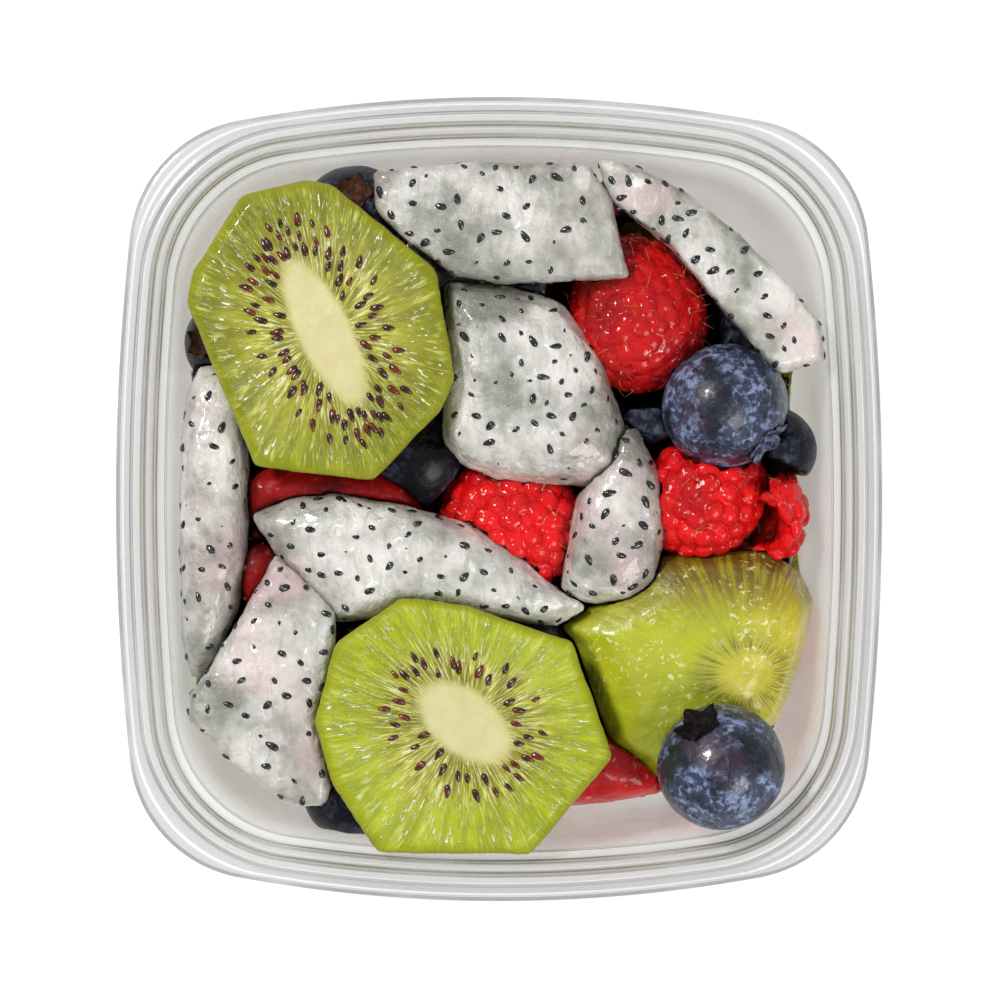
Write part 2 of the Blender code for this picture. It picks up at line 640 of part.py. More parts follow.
def build_top_pieces(food, cutters, room):
    pieces = []
    for name in TOP_DOWN:
        piece = build_piece(name, food)
        above = [cutter for cutter in cutters.objects if cutter is not room]
        bpy.context.view_layer.update()
        build_cutter(name, piece, cutters)
        add_boolean(piece, room, "INTERSECT")
        for other in above:
            if boxes_meet(piece, other):
                add_boolean(piece, other, "DIFFERENCE")
        apply_modifiers(piece)
        bpy.context.view_layer.update()
        pieces.append(piece)
    return pieces


# Heap under them

def outline_reach(direction):
    """How far the heap's outline lies from the tub's middle in a direction."""
    for start, end in zip(HEAP_OUTLINE, HEAP_OUTLINE[1:] + HEAP_OUTLINE[:1]):
        start = Vector(start)
        edge = Vector(end) - start
        across = direction.cross(edge)
        if across == 0.0:
            continue
        reach = start.cross(edge) / across
        share = start.cross(direction) / across
        if reach > 0.0 and 0.0 <= share <= 1.0:
            return reach
    return 0.0


def heap_slot(row, step):
    """Where a heap piece touches the wall, or the outline if that lies further in, and the way out."""
    z = HEAP_ROWS[row]
    ring = tub_ring(wall_inset(z, GAP), 0.0, z)
    place = (step + 0.5 * (row % 2)) / HEAP_COUNTS[row] * len(ring)
    first = ring[int(place) % len(ring)]
    second = ring[(int(place) + 1) % len(ring)]
    point = first.lerp(second, place % 1.0)
    along = (second - first).normalized()
    outward = Vector((along.y, -along.x, 0.0))
    flat = point.to_2d()
    pulled = flat.normalized() * min(flat.length, outline_reach(flat.normalized()))
    return Vector((pulled.x, pulled.y, z)), outward


def heap_shape(kind, size):
    """One piece of the heap about its own middle, with few sides; +Z will face the wall."""
    piece = HEAP_PIECES[kind]
    if kind == "kiwi":
        shape = bmesh.new()
        bmesh.ops.create_cone(
            shape, cap_ends=True, segments=DISC_SIDES, radius1=piece["radius"] * size,
            radius2=piece["far_radius"] * size, depth=piece["thickness"])
        return shape
    if kind == "dragon_fruit":
        long, wide, thick = piece["sides"]
        shape = bmesh.new()
        bmesh.ops.create_cube(shape, size=1.0)
        bmesh.ops.scale(shape, vec=(long * size, wide * size, thick), verts=shape.verts)
        bmesh.ops.bevel(
            shape, geom=shape.edges[:], offset=piece["bevel"], segments=1, affect="EDGES", profile=0.5)
        return shape
    half = [side * size for side in piece["half"]]
    if kind == "blueberry":
        return blueberry_mesh(half, *HEAP_BERRY_SIDES)
    if kind == "raspberry":
        return raspberry_mesh(half, *HEAP_RASPBERRY_SIDES)
    return strawberry_mesh(half, *HEAP_BERRY_SIDES)


def heap_piece(kind, point, outward, draw, collection):
    """One piece lying against the wall, turned as it fell."""
    spin = draw.uniform(0.0, math.tau)
    size = draw.uniform(*HEAP_SIZES)
    shape = heap_shape(kind, size)
    sunk = HEAP_PIECES[kind]["sunk"]
    depth = sunk * size if "half" in HEAP_PIECES[kind] else sunk
    toward = outward.to_track_quat("Z", "Y").to_matrix().to_4x4()
    place = Matrix.Translation(point - outward * depth) @ toward @ Matrix.Rotation(spin, 4, "Z")
    bmesh.ops.transform(shape, matrix=place, verts=shape.verts)
    return add_object("heap " + kind, shape, collection)


def heap_core():
    """The inside of the heap: the cup's own form drawn in, with a low dome on top."""
    levels = (TUB_WALL + GAP + 0.2, TUB_WALL + BASE_ROUNDING, HEAP_CORE_TOP)
    rings = [tub_ring(wall_inset(z, GAP) + CORE_INSET, -CORE_INSET / 2, z) for z in levels]
    dome = HEAP_CORE_TOP + HEAP_CORE_DOME
    rings.append(tub_ring(wall_inset(HEAP_CORE_TOP, GAP) + 4 * CORE_INSET, -2 * CORE_INSET, dome))
    return loft(rings, start=Vector((0.0, 0.0, levels[0])), end=Vector((0.0, 0.0, dome + 1.0)))


def build_heap(food, cutters, room):
    """A core with the pieces that show through the wall fused on, cut clear of all that lies above."""
    heap = add_object("fruit_heap", heap_core(), food, "mixed_fruit")
    loose = new_collection("heap pieces", hidden=True)
    bounds = new_collection("heap bounds", hidden=True)
    draw = random.Random(HEAP_SEED)
    turn = 0
    for row, count in enumerate(HEAP_COUNTS):
        for step in range(count):
            point, outward = heap_slot(row, step)
            kind = HEAP_KINDS[turn % len(HEAP_KINDS)]
            heap_piece(kind, point, outward, draw, loose)
            turn += 2 if draw.random() < SKIP_CHANCE else 1
    add_boolean(heap, loose, "UNION", "MANIFOLD")
    add_boolean(heap, build_heap_room(bounds), "INTERSECT", "MANIFOLD")
    add_boolean(heap, build_heap_outline(bounds), "INTERSECT", "MANIFOLD")
    for cutter in cutters.objects:
        if cutter is not room:
            add_boolean(heap, cutter, "DIFFERENCE", "MANIFOLD")
    apply_modifiers(heap)
    remove_collection(loose)
    remove_collection(bounds)
    return heap


def shade_round(objects):
    for obj in objects:
        for face in obj.data.polygons:
            face.use_smooth = True


def main():
    clear_scene()
    salad = new_collection("fruit_salad")
    cutters = new_collection("cutters", hidden=True)
    build_tub(salad)
    room = build_room(cutters)
    pieces = build_top_pieces(salad, cutters, room)
    build_heap(salad, cutters, room)
    shade_round([piece for piece in pieces if piece.name in BLUEBERRIES])
    remove_collection(cutters)


main()
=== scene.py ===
import json
import math
import random

import bmesh
import bpy
import numpy as np
from mathutils import Euler, Matrix, Vector

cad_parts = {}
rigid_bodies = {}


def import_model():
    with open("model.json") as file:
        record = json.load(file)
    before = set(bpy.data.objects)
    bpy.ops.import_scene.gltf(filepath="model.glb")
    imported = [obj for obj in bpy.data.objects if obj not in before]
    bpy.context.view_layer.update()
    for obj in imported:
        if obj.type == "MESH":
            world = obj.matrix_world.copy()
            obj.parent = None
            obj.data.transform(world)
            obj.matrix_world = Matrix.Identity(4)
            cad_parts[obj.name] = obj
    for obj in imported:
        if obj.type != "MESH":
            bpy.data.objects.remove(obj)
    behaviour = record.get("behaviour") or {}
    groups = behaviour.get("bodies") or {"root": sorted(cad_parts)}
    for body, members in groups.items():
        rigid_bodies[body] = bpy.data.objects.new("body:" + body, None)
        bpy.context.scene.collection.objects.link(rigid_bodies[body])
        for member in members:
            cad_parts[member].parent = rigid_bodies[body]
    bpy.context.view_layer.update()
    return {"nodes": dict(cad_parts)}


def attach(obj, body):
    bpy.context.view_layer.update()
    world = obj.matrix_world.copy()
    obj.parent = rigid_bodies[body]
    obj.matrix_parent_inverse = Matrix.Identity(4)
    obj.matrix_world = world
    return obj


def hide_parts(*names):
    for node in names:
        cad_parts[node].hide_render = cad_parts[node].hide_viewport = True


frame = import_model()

mm = 0.001


def report(words):
    print("fruit salad:", words, flush=True)


# small helpers

def srgb(red, green, blue, alpha=1.0):
    # a colour picked in a paint program, as the linear colour that the shaders take
    def linear(value):
        value /= 255
        return value / 12.92 if value <= 0.04045 else ((value + 0.055) / 1.055) ** 2.4
    return (linear(red), linear(green), linear(blue), alpha)


def addNode(tree, kind, inputs=None, **settings):
    made = tree.nodes.new(kind)
    for key, value in settings.items():
        setattr(made, key, value)
    for name, value in (inputs or {}).items():
        if isinstance(value, bpy.types.NodeSocket):
            tree.links.new(value, made.inputs[name])
        else:
            made.inputs[name].default_value = value
    return made


def math2(tree, operation, first, second=0.0):
    return addNode(tree, "ShaderNodeMath", {0: first, 1: second}, operation=operation).outputs[0]


def times(tree, first, *others):
    for other in others:
        first = math2(tree, "MULTIPLY", first, other)
    return first


def plus(tree, first, second):
    return math2(tree, "ADD", first, second)


def minus(tree, first, second):
    return math2(tree, "SUBTRACT", first, second)


def spread(tree, value, fromLow, fromHigh, toLow=0.0, toHigh=1.0, smooth=True):
    inputs = {"Value": value, "From Min": fromLow, "From Max": fromHigh, "To Min": toLow, "To Max": toHigh}
    curve = "SMOOTHSTEP" if smooth else "LINEAR"
    return addNode(tree, "ShaderNodeMapRange", inputs, interpolation_type=curve).outputs[0]


def blendColours(tree, amount, first, second, mode="MIX"):
    made = addNode(tree, "ShaderNodeMix", {0: amount, 6: first, 7: second}, data_type="RGBA", blend_type=mode,
                   clamp_factor=True)
    return made.outputs[2]


def axesOf(tree, vector):
    return addNode(tree, "ShaderNodeSeparateXYZ", {0: vector}).outputs


def stored(tree, name, output="Vector"):
    return addNode(tree, "ShaderNodeAttribute", attribute_name=name).outputs[output]


def mapped(tree, vector, scale, turn=(0.0, 0.0, 0.0)):
    return addNode(tree, "ShaderNodeMapping", {"Vector": vector, "Rotation": turn, "Scale": scale}).outputs[0]


def noise(tree, vector, scale, detail=3.0, roughness=0.5, distortion=0.0):
    made = addNode(tree, "ShaderNodeTexNoise", {"Vector": vector, "Scale": scale, "Detail": detail,
                                                "Roughness": roughness, "Distortion": distortion})
    return made.outputs["Fac"]


def objectSpot(tree):
    return addNode(tree, "ShaderNodeTexCoord").outputs["Object"]


def newMaterial(name, roughness=0.4, **sockets):
    material = bpy.data.materials.new(name)
    material.use_nodes = True
    tree = material.node_tree
    shader = tree.nodes["Principled BSDF"]
    shader.inputs["Roughness"].default_value = roughness
    for label, value in sockets.items():
        shader.inputs[label.replace("_", " ")].default_value = value
    return material, tree, shader


def wire(tree, shader, **values):
    # joins what was worked out to the shader's sockets
    for label, value in values.items():
        tree.links.new(value, shader.inputs[label.replace("_", " ")])


def bumpFrom(tree, shader, height, distance, strength):
    bump = addNode(tree, "ShaderNodeBump", {"Height": height, "Distance": distance, "Strength": strength})
    wire(tree, shader, Normal=bump.outputs["Normal"])


def newObject(name, mesh, material=None):
    obj = bpy.data.objects.new(name, mesh)
    bpy.context.scene.collection.objects.link(obj)
    if material:
        mesh.materials.clear()
        mesh.materials.append(material)
    return obj


def bake(obj):
    # turns what the modifiers make into a plain mesh
    bpy.context.view_layer.update()
    graph = bpy.context.evaluated_depsgraph_get()
    mesh = bpy.data.meshes.new_from_object(obj.evaluated_get(graph), preserve_all_data_layers=True,
                                           depsgraph=graph)
    obj.modifiers.clear()
    obj.data = mesh
    return obj


def meshOf(builder, name):
    mesh = bpy.data.meshes.new(name)
    builder.to_mesh(mesh)
    builder.free()
    return mesh


def smoothShade(mesh):
    mesh.polygons.foreach_set("use_smooth", [True] * len(mesh.polygons))


def dress(obj, paint):
    obj.data.materials.clear()
    obj.data.materials.append(paint)
    smoothShade(obj.data)


def drop(obj):
    bpy.data.objects.remove(obj, do_unlink=True)


def bridge(builder, rings):
    # a closed band of faces from each ring of points to the next
    for near, far in zip(rings, rings[1:]):
        for k in range(len(near)):
            after = (k + 1) % len(near)
            builder.faces.new((near[k], near[after], far[after], far[k]))


def carried(points, place):
    # points moved by a matrix
    turn = np.array(place)
    return points @ turn[:3, :3].T + turn[:3, 3]


def pointsOf(mesh):
    flat = np.empty(len(mesh.vertices) * 3, np.float32)
    mesh.vertices.foreach_get("co", flat)
    return flat.reshape(-1, 3).astype(np.float64)


def setPoints(mesh, points):
    mesh.vertices.foreach_set("co", points.astype(np.float32).ravel())
    mesh.update()


def storeVector(mesh, name, values):
    layer = mesh.attributes.new(name, "FLOAT_VECTOR", "POINT")
    layer.data.foreach_set("vector", values.astype(np.float32).ravel())


def newTree(name, inputs):
    tree = bpy.data.node_groups.new(name, "GeometryNodeTree")
    tree.interface.new_socket("Geometry", in_out="INPUT", socket_type="NodeSocketGeometry")
    for label, (kind, value) in inputs.items():
        socket = tree.interface.new_socket(label, in_out="INPUT", socket_type="NodeSocket" + kind)
        if value is not None:
            socket.default_value = value
    tree.interface.new_socket("Geometry", in_out="OUTPUT", socket_type="NodeSocketGeometry")
    start = tree.nodes.new("NodeGroupInput")
    end = tree.nodes.new("NodeGroupOutput")
    return tree, start.outputs, end.inputs["Geometry"]


def runTree(obj, tree, values):
    modifier = obj.modifiers.new(tree.name, "NODES")
    modifier.node_group = tree
    for item in tree.interface.items_tree:
        if item.item_type == "SOCKET" and item.in_out == "INPUT" and item.name in values:
            modifier[item.identifier] = values[item.name]
    return bake(obj)


# the tub: the same bowed outline and stepped rim as the solid, with more steps and rounder folds

tub = {
    "width": 115.2, "length": 120.9, "sideBow": 372.0, "endBow": 218.0, "corner": 20.0,
    "flange": 50.0, "bead": 2.2, "ledge": 3.0, "skirt": 1.6, "wall": 0.5,
    "wallInset": 7.7, "draft": math.radians(5.0), "baseRounding": 5.0,
    "sideSteps": 14, "cornerSteps": 18, "roundings": 2,
    "gap": 0.35,
}


def filletCentre(sideRadius, endRadius, cornerRadius):
    # where a rounded corner is centred, for single radii or for arrays of them
    sideX = tub["width"] / 2 - tub["sideBow"]
    endY = tub["length"] / 2 - tub["endBow"]
    toSide = sideRadius - cornerRadius
    toEnd = endRadius - cornerRadius
    between = math.hypot(sideX, endY)
    along = (toSide ** 2 - toEnd ** 2 + between ** 2) / (2 * between)
    off = np.sqrt(toSide ** 2 - along ** 2)
    ux, uy = -sideX / between, endY / between
    return sideX + ux * along - uy * off, uy * along + ux * off


def tubRing(inset, growth, z, sideSteps, cornerSteps):
    sideRadius = tub["sideBow"] - inset
    endRadius = tub["endBow"] - inset
    cornerRadius = tub["corner"] + growth
    sideX = tub["width"] / 2 - tub["sideBow"]
    endY = tub["length"] / 2 - tub["endBow"]
    cornerX, cornerY = filletCentre(sideRadius, endRadius, cornerRadius)
    sideAngle = math.atan2(cornerY, cornerX - sideX)
    endAngle = math.atan2(cornerY - endY, cornerX)
    quarter = []
    for k in range(sideSteps):
        angle = sideAngle * k / sideSteps
        quarter.append((sideX + sideRadius * math.cos(angle), sideRadius * math.sin(angle)))
    for k in range(cornerSteps + 1):
        angle = sideAngle + (endAngle - sideAngle) * k / cornerSteps
        quarter.append((cornerX + cornerRadius * math.cos(angle), cornerY + cornerRadius * math.sin(angle)))
    for k in range(1, sideSteps + 1):
        angle = endAngle + (math.pi / 2 - endAngle) * k / sideSteps
        quarter.append((endRadius * math.cos(angle), endY + endRadius * math.sin(angle)))
    half = quarter + [(-x, y) for x, y in reversed(quarter[:-1])]
    whole = half + [(x, -y) for x, y in reversed(half[1:-1])]
    return [Vector((x, y, z)) for x, y in whole]


def wallInset(z, clearance=0.0):
    # how far in from the rim's edge the wall stands at a height, or at an array of heights
    rounding = np.maximum(0.0, tub["wall"] + tub["baseRounding"] - z) / tub["baseRounding"]
    corner = tub["baseRounding"] * (1 - np.sqrt(np.maximum(0.0, 1 - rounding ** 2)))
    return tub["wallInset"] + (tub["flange"] - tub["ledge"] - z) * math.tan(tub["draft"]) + corner + clearance


def rimProfile():
    flange = tub["flange"]
    bead = flange + tub["bead"]
    channel = flange - 0.6
    ledge = flange - tub["ledge"]
    return [
        (0.0, 0.0, flange - tub["skirt"]), (0.1, 0.0, flange - 0.4), (0.5, 1.5, flange), (2.2, 4.6, flange),
        (2.5, 4.6, bead - 0.4), (2.9, 4.2, bead), (4.0, 3.0, bead), (4.4, 2.6, bead - 0.4),
        (4.7, 2.4, channel), (5.9, 1.0, channel), (6.2, 0.9, ledge), (7.3, 0.4, ledge),
    ]


def cupProfile():
    wall, rounding = tub["wall"], tub["baseRounding"]
    ledge = tub["flange"] - tub["ledge"]
    levels = [ledge - 0.5, 34.0, 20.0, wall + rounding]
    levels += [wall + rounding * share for share in (0.75, 0.5, 0.3, 0.16, 0.06)]
    rings = [(wallInset(z), 0.3, z) for z in levels]
    rings.append((wallInset(wall) + 0.6, 0.0, wall))
    rings += [(wallInset(wall) + 6.0, 1.0, wall), (wallInset(wall) + 20.0, 4.0, wall)]
    return rings


def rounded(profile, rounds):
    # cuts each corner of the profile, so that the folds of the sheet are soft
    for _ in range(rounds):
        cut = [profile[0]]
        for near, far in zip(profile, profile[1:]):
            for share in (0.25, 0.75):
                cut.append(tuple(a + (b - a) * share for a, b in zip(near, far)))
        cut.append(profile[-1])
        profile = cut
    return profile


def loft(rings, tip=None):
    skin = bmesh.new()
    loops = [[skin.verts.new(point * mm) for point in ring] for ring in rings]
    bridge(skin, loops)
    if tip is not None:
        point = skin.verts.new(tip * mm)
        for k in range(len(loops[-1])):
            skin.faces.new((loops[-1][k], loops[-1][(k + 1) % len(loops[-1])], point))
    bmesh.ops.recalc_face_normals(skin, faces=skin.faces)
    return skin


plastic = {
    "tint": srgb(246, 246, 245), "haze": srgb(194, 194, 192), "wallHaze": srgb(252, 250, 246),
    "juice": srgb(226, 160, 150),
    "flat": 0.36, "wallFlat": 0.05, "wallSteep": 0.62, "through": 0.6, "gloss": 0.32,
    # lines that the folds of the rim show from above, all painted: the dark and golden ones are painted
    # reflection, the white ones painted highlight;
    # inset and half width in mm, cover, cover on the near right, colour
    "lines": (
        (0.05, 0.13, 0.7, 0.7, srgb(124, 120, 134)), (1.15, 0.22, 0.35, 0.5, srgb(252, 252, 250)),
        (2.3, 0.26, 0.8, 0.12, srgb(112, 118, 134)), (2.95, 0.16, 0.5, 0.5, srgb(250, 250, 250)),
        (3.9, 0.12, 0.3, 0.55, srgb(150, 142, 132)), (4.45, 0.17, 0.7, 0.75, srgb(138, 122, 88)),
        (4.85, 0.12, 0.35, 0.4, srgb(252, 252, 250)), (6.05, 0.15, 0.85, 0.85, srgb(132, 112, 66)),
        (7.45, 0.11, 0.75, 0.7, srgb(122, 112, 104)),
    ),
}


def clearPlastic():
    settings = plastic
    material, tree, shader = newMaterial("clearPlastic", 0.35)
    spot = objectSpot(tree)
    axes = axesOf(tree, spot)
    inset = stored(tree, "inset", "Fac")
    # the painted fold lines show stronger towards the far left than on the near right
    farLeft = spread(tree, minus(tree, axes[1], axes[0]), -0.07, 0.05)
    streaks = noise(tree, spot, 55.0, 3.0)
    facing = addNode(tree, "ShaderNodeLayerWeight", {"Blend": 0.5}).outputs["Facing"]
    onWall = spread(tree, axes[2], 0.0472, 0.0462)
    onRim = minus(tree, 1.0, onWall)
    wallCover = spread(tree, facing, 0.3, 0.95, settings["wallFlat"], settings["wallSteep"])
    rimCover = times(tree, onRim, settings["flat"])
    cover = plus(tree, times(tree, wallCover, onWall), rimCover)
    film = noise(tree, spot, 32.0, 4.0, 0.6)
    nearRight = spread(tree, minus(tree, axes[0], axes[1]), 0.0, 0.07, 0.12, 1.0)
    stain = times(tree, spread(tree, film, 0.4, 0.62), onWall, nearRight)
    body = blendColours(tree, onWall, settings["haze"], settings["wallHaze"])
    body = blendColours(tree, times(tree, stain, 0.4), body, settings["juice"])
    # each fold line is painted into the rim's colour and cover: painted reflection where dark or golden,
    # painted highlight where white
    for at, half, high, low, colour in settings["lines"]:
        off = math2(tree, "ABSOLUTE", minus(tree, inset, at))
        strength = spread(tree, farLeft, 0.0, 1.0, low, high, smooth=False)
        share = times(tree, spread(tree, off, half, half * 0.35), onRim)
        uneven = times(tree, share, spread(tree, streaks, 0.28, 0.55, 0.45, 1.0))
        shown = times(tree, uneven, strength)
        body = blendColours(tree, share, body, colour)
        cover = math2(tree, "MAXIMUM", cover, shown)
    wire(tree, shader, Base_Color=body)
    ripple = noise(tree, spot, 45.0, 1.0)
    bumpFrom(tree, shader, ripple, 0.0004, 0.5)
    # the clear share of the wall lets straight light by
    clear = addNode(tree, "ShaderNodeBsdfTransparent", {"Color": settings["tint"]})
    # hazy plastic also passes on the light that falls on it from outside
    lit = addNode(tree, "ShaderNodeBsdfTranslucent", {"Color": body})
    passed = times(tree, onWall, settings["through"])
    hazy = addNode(tree, "ShaderNodeMixShader", {0: passed, 1: shader.outputs[0], 2: lit.outputs[0]})
    mixed = addNode(tree, "ShaderNodeMixShader", {0: cover, 1: clear.outputs[0], 2: hazy.outputs[0]})
    shine = addNode(tree, "ShaderNodeBsdfGlossy", {"Roughness": spread(tree, streaks, 0.3, 0.8, 0.05, 0.16)})
    edge = addNode(tree, "ShaderNodeFresnel", {"IOR": 1.5})
    strength = times(tree, edge.outputs[0], settings["gloss"])
    glossy = addNode(tree, "ShaderNodeMixShader", {0: strength, 1: mixed.outputs[0], 2: shine.outputs[0]})
    tree.links.new(glossy.outputs[0], tree.nodes["Material Output"].inputs["Surface"])
    return material


def makeTub():
    profile = rounded(rimProfile(), tub["roundings"]) + cupProfile()
    rings = [tubRing(*ring, tub["sideSteps"], tub["cornerSteps"]) for ring in profile]
    skin = loft(rings, Vector((0.0, 0.0, tub["wall"])))
    obj = newObject("clear_tub", meshOf(skin, "clear_tub"), clearPlastic())
    insets = np.full(len(obj.data.vertices), 30.0, np.float32)
    insets[:len(profile) * len(rings[0])] = np.repeat([level[0] for level in profile], len(rings[0]))
    obj.data.attributes.new("inset", "FLOAT", "POINT").data.foreach_set("value", insets)
    wall = obj.modifiers.new("wall", "SOLIDIFY")
    wall.thickness = tub["wall"] * mm
    wall.offset = -1.0
    bake(obj)
    smoothShade(obj.data)
    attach(obj, "root")
    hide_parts("tub")
    return obj


# soft forms from the solids: a fine skin over a node, with its facets worked out

def evenSkin(obj, voxel, rounds, smooth=True):
    remesh = obj.modifiers.new("even skin", "REMESH")
    remesh.mode = "VOXEL"
    remesh.voxel_size = voxel * mm
    remesh.use_smooth_shade = smooth
    soften = obj.modifiers.new("soften", "SMOOTH")
    soften.factor = 0.5
    soften.iterations = rounds


def skinOf(nodeName, voxel, smoothing, finer=0, swell=0.0):
    builder = bmesh.new()
    builder.from_mesh(frame["nodes"][nodeName].data)
    bmesh.ops.remove_doubles(builder, verts=builder.verts, dist=1e-7)
    obj = newObject(nodeName + "_flesh", meshOf(builder, nodeName + "_flesh"))
    evenSkin(obj, voxel, smoothing)
    if finer:
        divide = obj.modifiers.new("finer", "SUBSURF")
        divide.levels = divide.render_levels = finer
    if swell:
        swollen = obj.modifiers.new("swell", "DISPLACE")
        swollen.strength = swell * mm
        swollen.mid_level = 0.0
    bake(obj)
    smoothShade(obj.data)
    return obj


def pushedOut(tree, inputs, height, result):
    # ends a tree that moves each point along its normal
    normal = addNode(tree, "GeometryNodeInputNormal").outputs[0]
    push = addNode(tree, "ShaderNodeVectorMath", {0: normal, "Scale": height}, operation="SCALE").outputs[0]
    moved = addNode(tree, "GeometryNodeSetPosition", {"Geometry": inputs["Geometry"], "Offset": push})
    tree.links.new(moved.outputs[0], result)
    return tree


def realized(tree, inputs, placed, result):
    # ends a tree that lays out copies of one shape
    real = addNode(tree, "GeometryNodeRealizeInstances", {0: placed})
    painted = addNode(tree, "GeometryNodeSetMaterial", {0: real.outputs[0], "Material": inputs["Material"]})
    tree.links.new(painted.outputs[0], result)
    return tree


def reliefTree():
    # uneven surface: two sizes of noise pushed along the normals
    tree, inputs, result = newTree("uneven surface", {
        "Amount": ("Float", 0.0002), "Scale": ("Float", 150.0), "Fine amount": ("Float", 0.00005),
        "Fine scale": ("Float", 900.0), "Seed": ("Float", 0.0)})
    spot = addNode(tree, "GeometryNodeInputPosition").outputs[0]
    offsets = []
    for amount, scale in (("Amount", "Scale"), ("Fine amount", "Fine scale")):
        pattern = addNode(tree, "ShaderNodeTexNoise", {
            "Vector": spot, "Scale": inputs[scale], "W": inputs["Seed"], "Detail": 2.0}, noise_dimensions="4D")
        centred = minus(tree, pattern.outputs[0], 0.5)
        offsets.append(times(tree, centred, inputs[amount]))
    both = times(tree, plus(tree, *offsets), 2.0)
    return pushedOut(tree, inputs, both, result)


def scatterTree():
    # seeds lying on a skin: a blue-noise scatter of one seed, turned to the surface and spun
    tree, inputs, result = newTree("scattered seeds", {
        "Seed shape": ("Object", None), "Distance": ("Float", 0.002), "Density": ("Float", 90000.0),
        "Sink": ("Float", 0.0003), "Smallest": ("Float", 0.7), "Largest": ("Float", 1.2),
        "Lowest facing": ("Float", -1.0), "Patch scale": ("Float", 120.0), "Patch share": ("Float", 0.4),
        "Draw": ("Int", 1), "Material": ("Material", None)})
    normal = addNode(tree, "GeometryNodeInputNormal").outputs[0]
    up = axesOf(tree, normal)[2]
    spot = addNode(tree, "GeometryNodeInputPosition").outputs[0]
    patch = noise(tree, spot, inputs["Patch scale"], 1.0)
    thick = math2(tree, "GREATER_THAN", patch, inputs["Patch share"])
    facing = math2(tree, "GREATER_THAN", up, inputs["Lowest facing"])
    points = addNode(tree, "GeometryNodeDistributePointsOnFaces", distribute_method="POISSON")
    tree.links.new(inputs["Geometry"], points.inputs["Mesh"])
    tree.links.new(inputs["Distance"], points.inputs["Distance Min"])
    tree.links.new(inputs["Density"], points.inputs["Density Max"])
    tree.links.new(inputs["Draw"], points.inputs["Seed"])
    tree.links.new(times(tree, thick, facing), points.inputs["Density Factor"])
    shape = addNode(tree, "GeometryNodeObjectInfo", {"Object": inputs["Seed shape"]})
    spin = addNode(tree, "FunctionNodeRandomValue", {"Min": (0.0, 0.0, 0.0), "Max": (0.35, 0.35, math.tau),
                                                     "Seed": inputs["Draw"]}, data_type="FLOAT_VECTOR")
    turned = addNode(tree, "FunctionNodeRotateRotation", {0: points.outputs["Rotation"], 1: spin.outputs[0]},
                     rotation_space="LOCAL")
    size = addNode(tree, "FunctionNodeRandomValue", {2: inputs["Smallest"], 3: inputs["Largest"],
                                                     "Seed": inputs["Draw"]}, data_type="FLOAT")
    placed = addNode(tree, "GeometryNodeInstanceOnPoints", {
        "Points": points.outputs["Points"], "Instance": shape.outputs["Geometry"],
        "Rotation": turned.outputs[0], "Scale": size.outputs[1]})
    seed = plus(tree, inputs["Draw"], 5.0)
    depth = addNode(tree, "FunctionNodeRandomValue", {2: 0.0, 3: 1.0, "Seed": seed},
                    data_type="FLOAT").outputs[1]
    down = addNode(tree, "ShaderNodeCombineXYZ", {2: times(tree, depth, inputs["Sink"], -1.0)}).outputs[0]
    sunk = addNode(tree, "GeometryNodeTranslateInstances", {0: placed.outputs[0], "Translation": down})
    return realized(tree, inputs, sunk.outputs[0], result)


def drupeletTree():
    # round drupelets: the skin rises in a dome round each point of an even scatter
    tree, inputs, result = newTree("drupelets", {
        "Spacing": ("Float", 0.003), "Rise": ("Float", 0.0012), "Reach": ("Float", 0.62), "Draw": ("Int", 1)})
    points = addNode(tree, "GeometryNodeDistributePointsOnFaces", distribute_method="POISSON")
    tree.links.new(inputs["Geometry"], points.inputs["Mesh"])
    tree.links.new(inputs["Spacing"], points.inputs["Distance Min"])
    points.inputs["Density Max"].default_value = 1500000.0
    tree.links.new(inputs["Draw"], points.inputs["Seed"])
    near = addNode(tree, "GeometryNodeProximity", {0: points.outputs["Points"]}, target_element="POINTS")
    reach = times(tree, inputs["Spacing"], inputs["Reach"])
    share = math2(tree, "DIVIDE", near.outputs["Distance"], reach)
    left = minus(tree, 1.0, times(tree, share, share))
    dome = math2(tree, "SQRT", math2(tree, "MAXIMUM", left, 0.0))
    height = times(tree, minus(tree, dome, 0.75), inputs["Rise"])
    return pushedOut(tree, inputs, height, result)


trees = {"relief": reliefTree(), "scatter": scatterTree(), "drupelets": drupeletTree()}


def roughen(obj, amount, scale, fineAmount, fineScale, seed):
    runTree(obj, trees["relief"], {"Amount": amount, "Scale": scale, "Fine amount": fineAmount,
                                   "Fine scale": fineScale, "Seed": float(seed)})


def seedShape(name, length, width, height, taper, rings=5, sides=8):
    # a seed with a round end and a drawn-out end, lying along X
    builder = bmesh.new()
    bmesh.ops.create_uvsphere(builder, u_segments=sides, v_segments=rings, radius=0.5)
    for vert in builder.verts:
        x, y, z = vert.co
        narrow = 1.0 - taper * (x + 0.5)
        vert.co = Vector((x * length, y * width * narrow, z * height * narrow)) * mm
    mesh = meshOf(builder, name)
    smoothShade(mesh)
    obj = newObject(name, mesh)
    obj.hide_render = True
    obj.hide_viewport = True
    return obj


# each piece goes on the root body, and the solids it stands for are hidden

def finishPiece(obj, slot, *nodes):
    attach(obj, "root")
    if nodes:
        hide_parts(*nodes)
    return obj


# kiwi

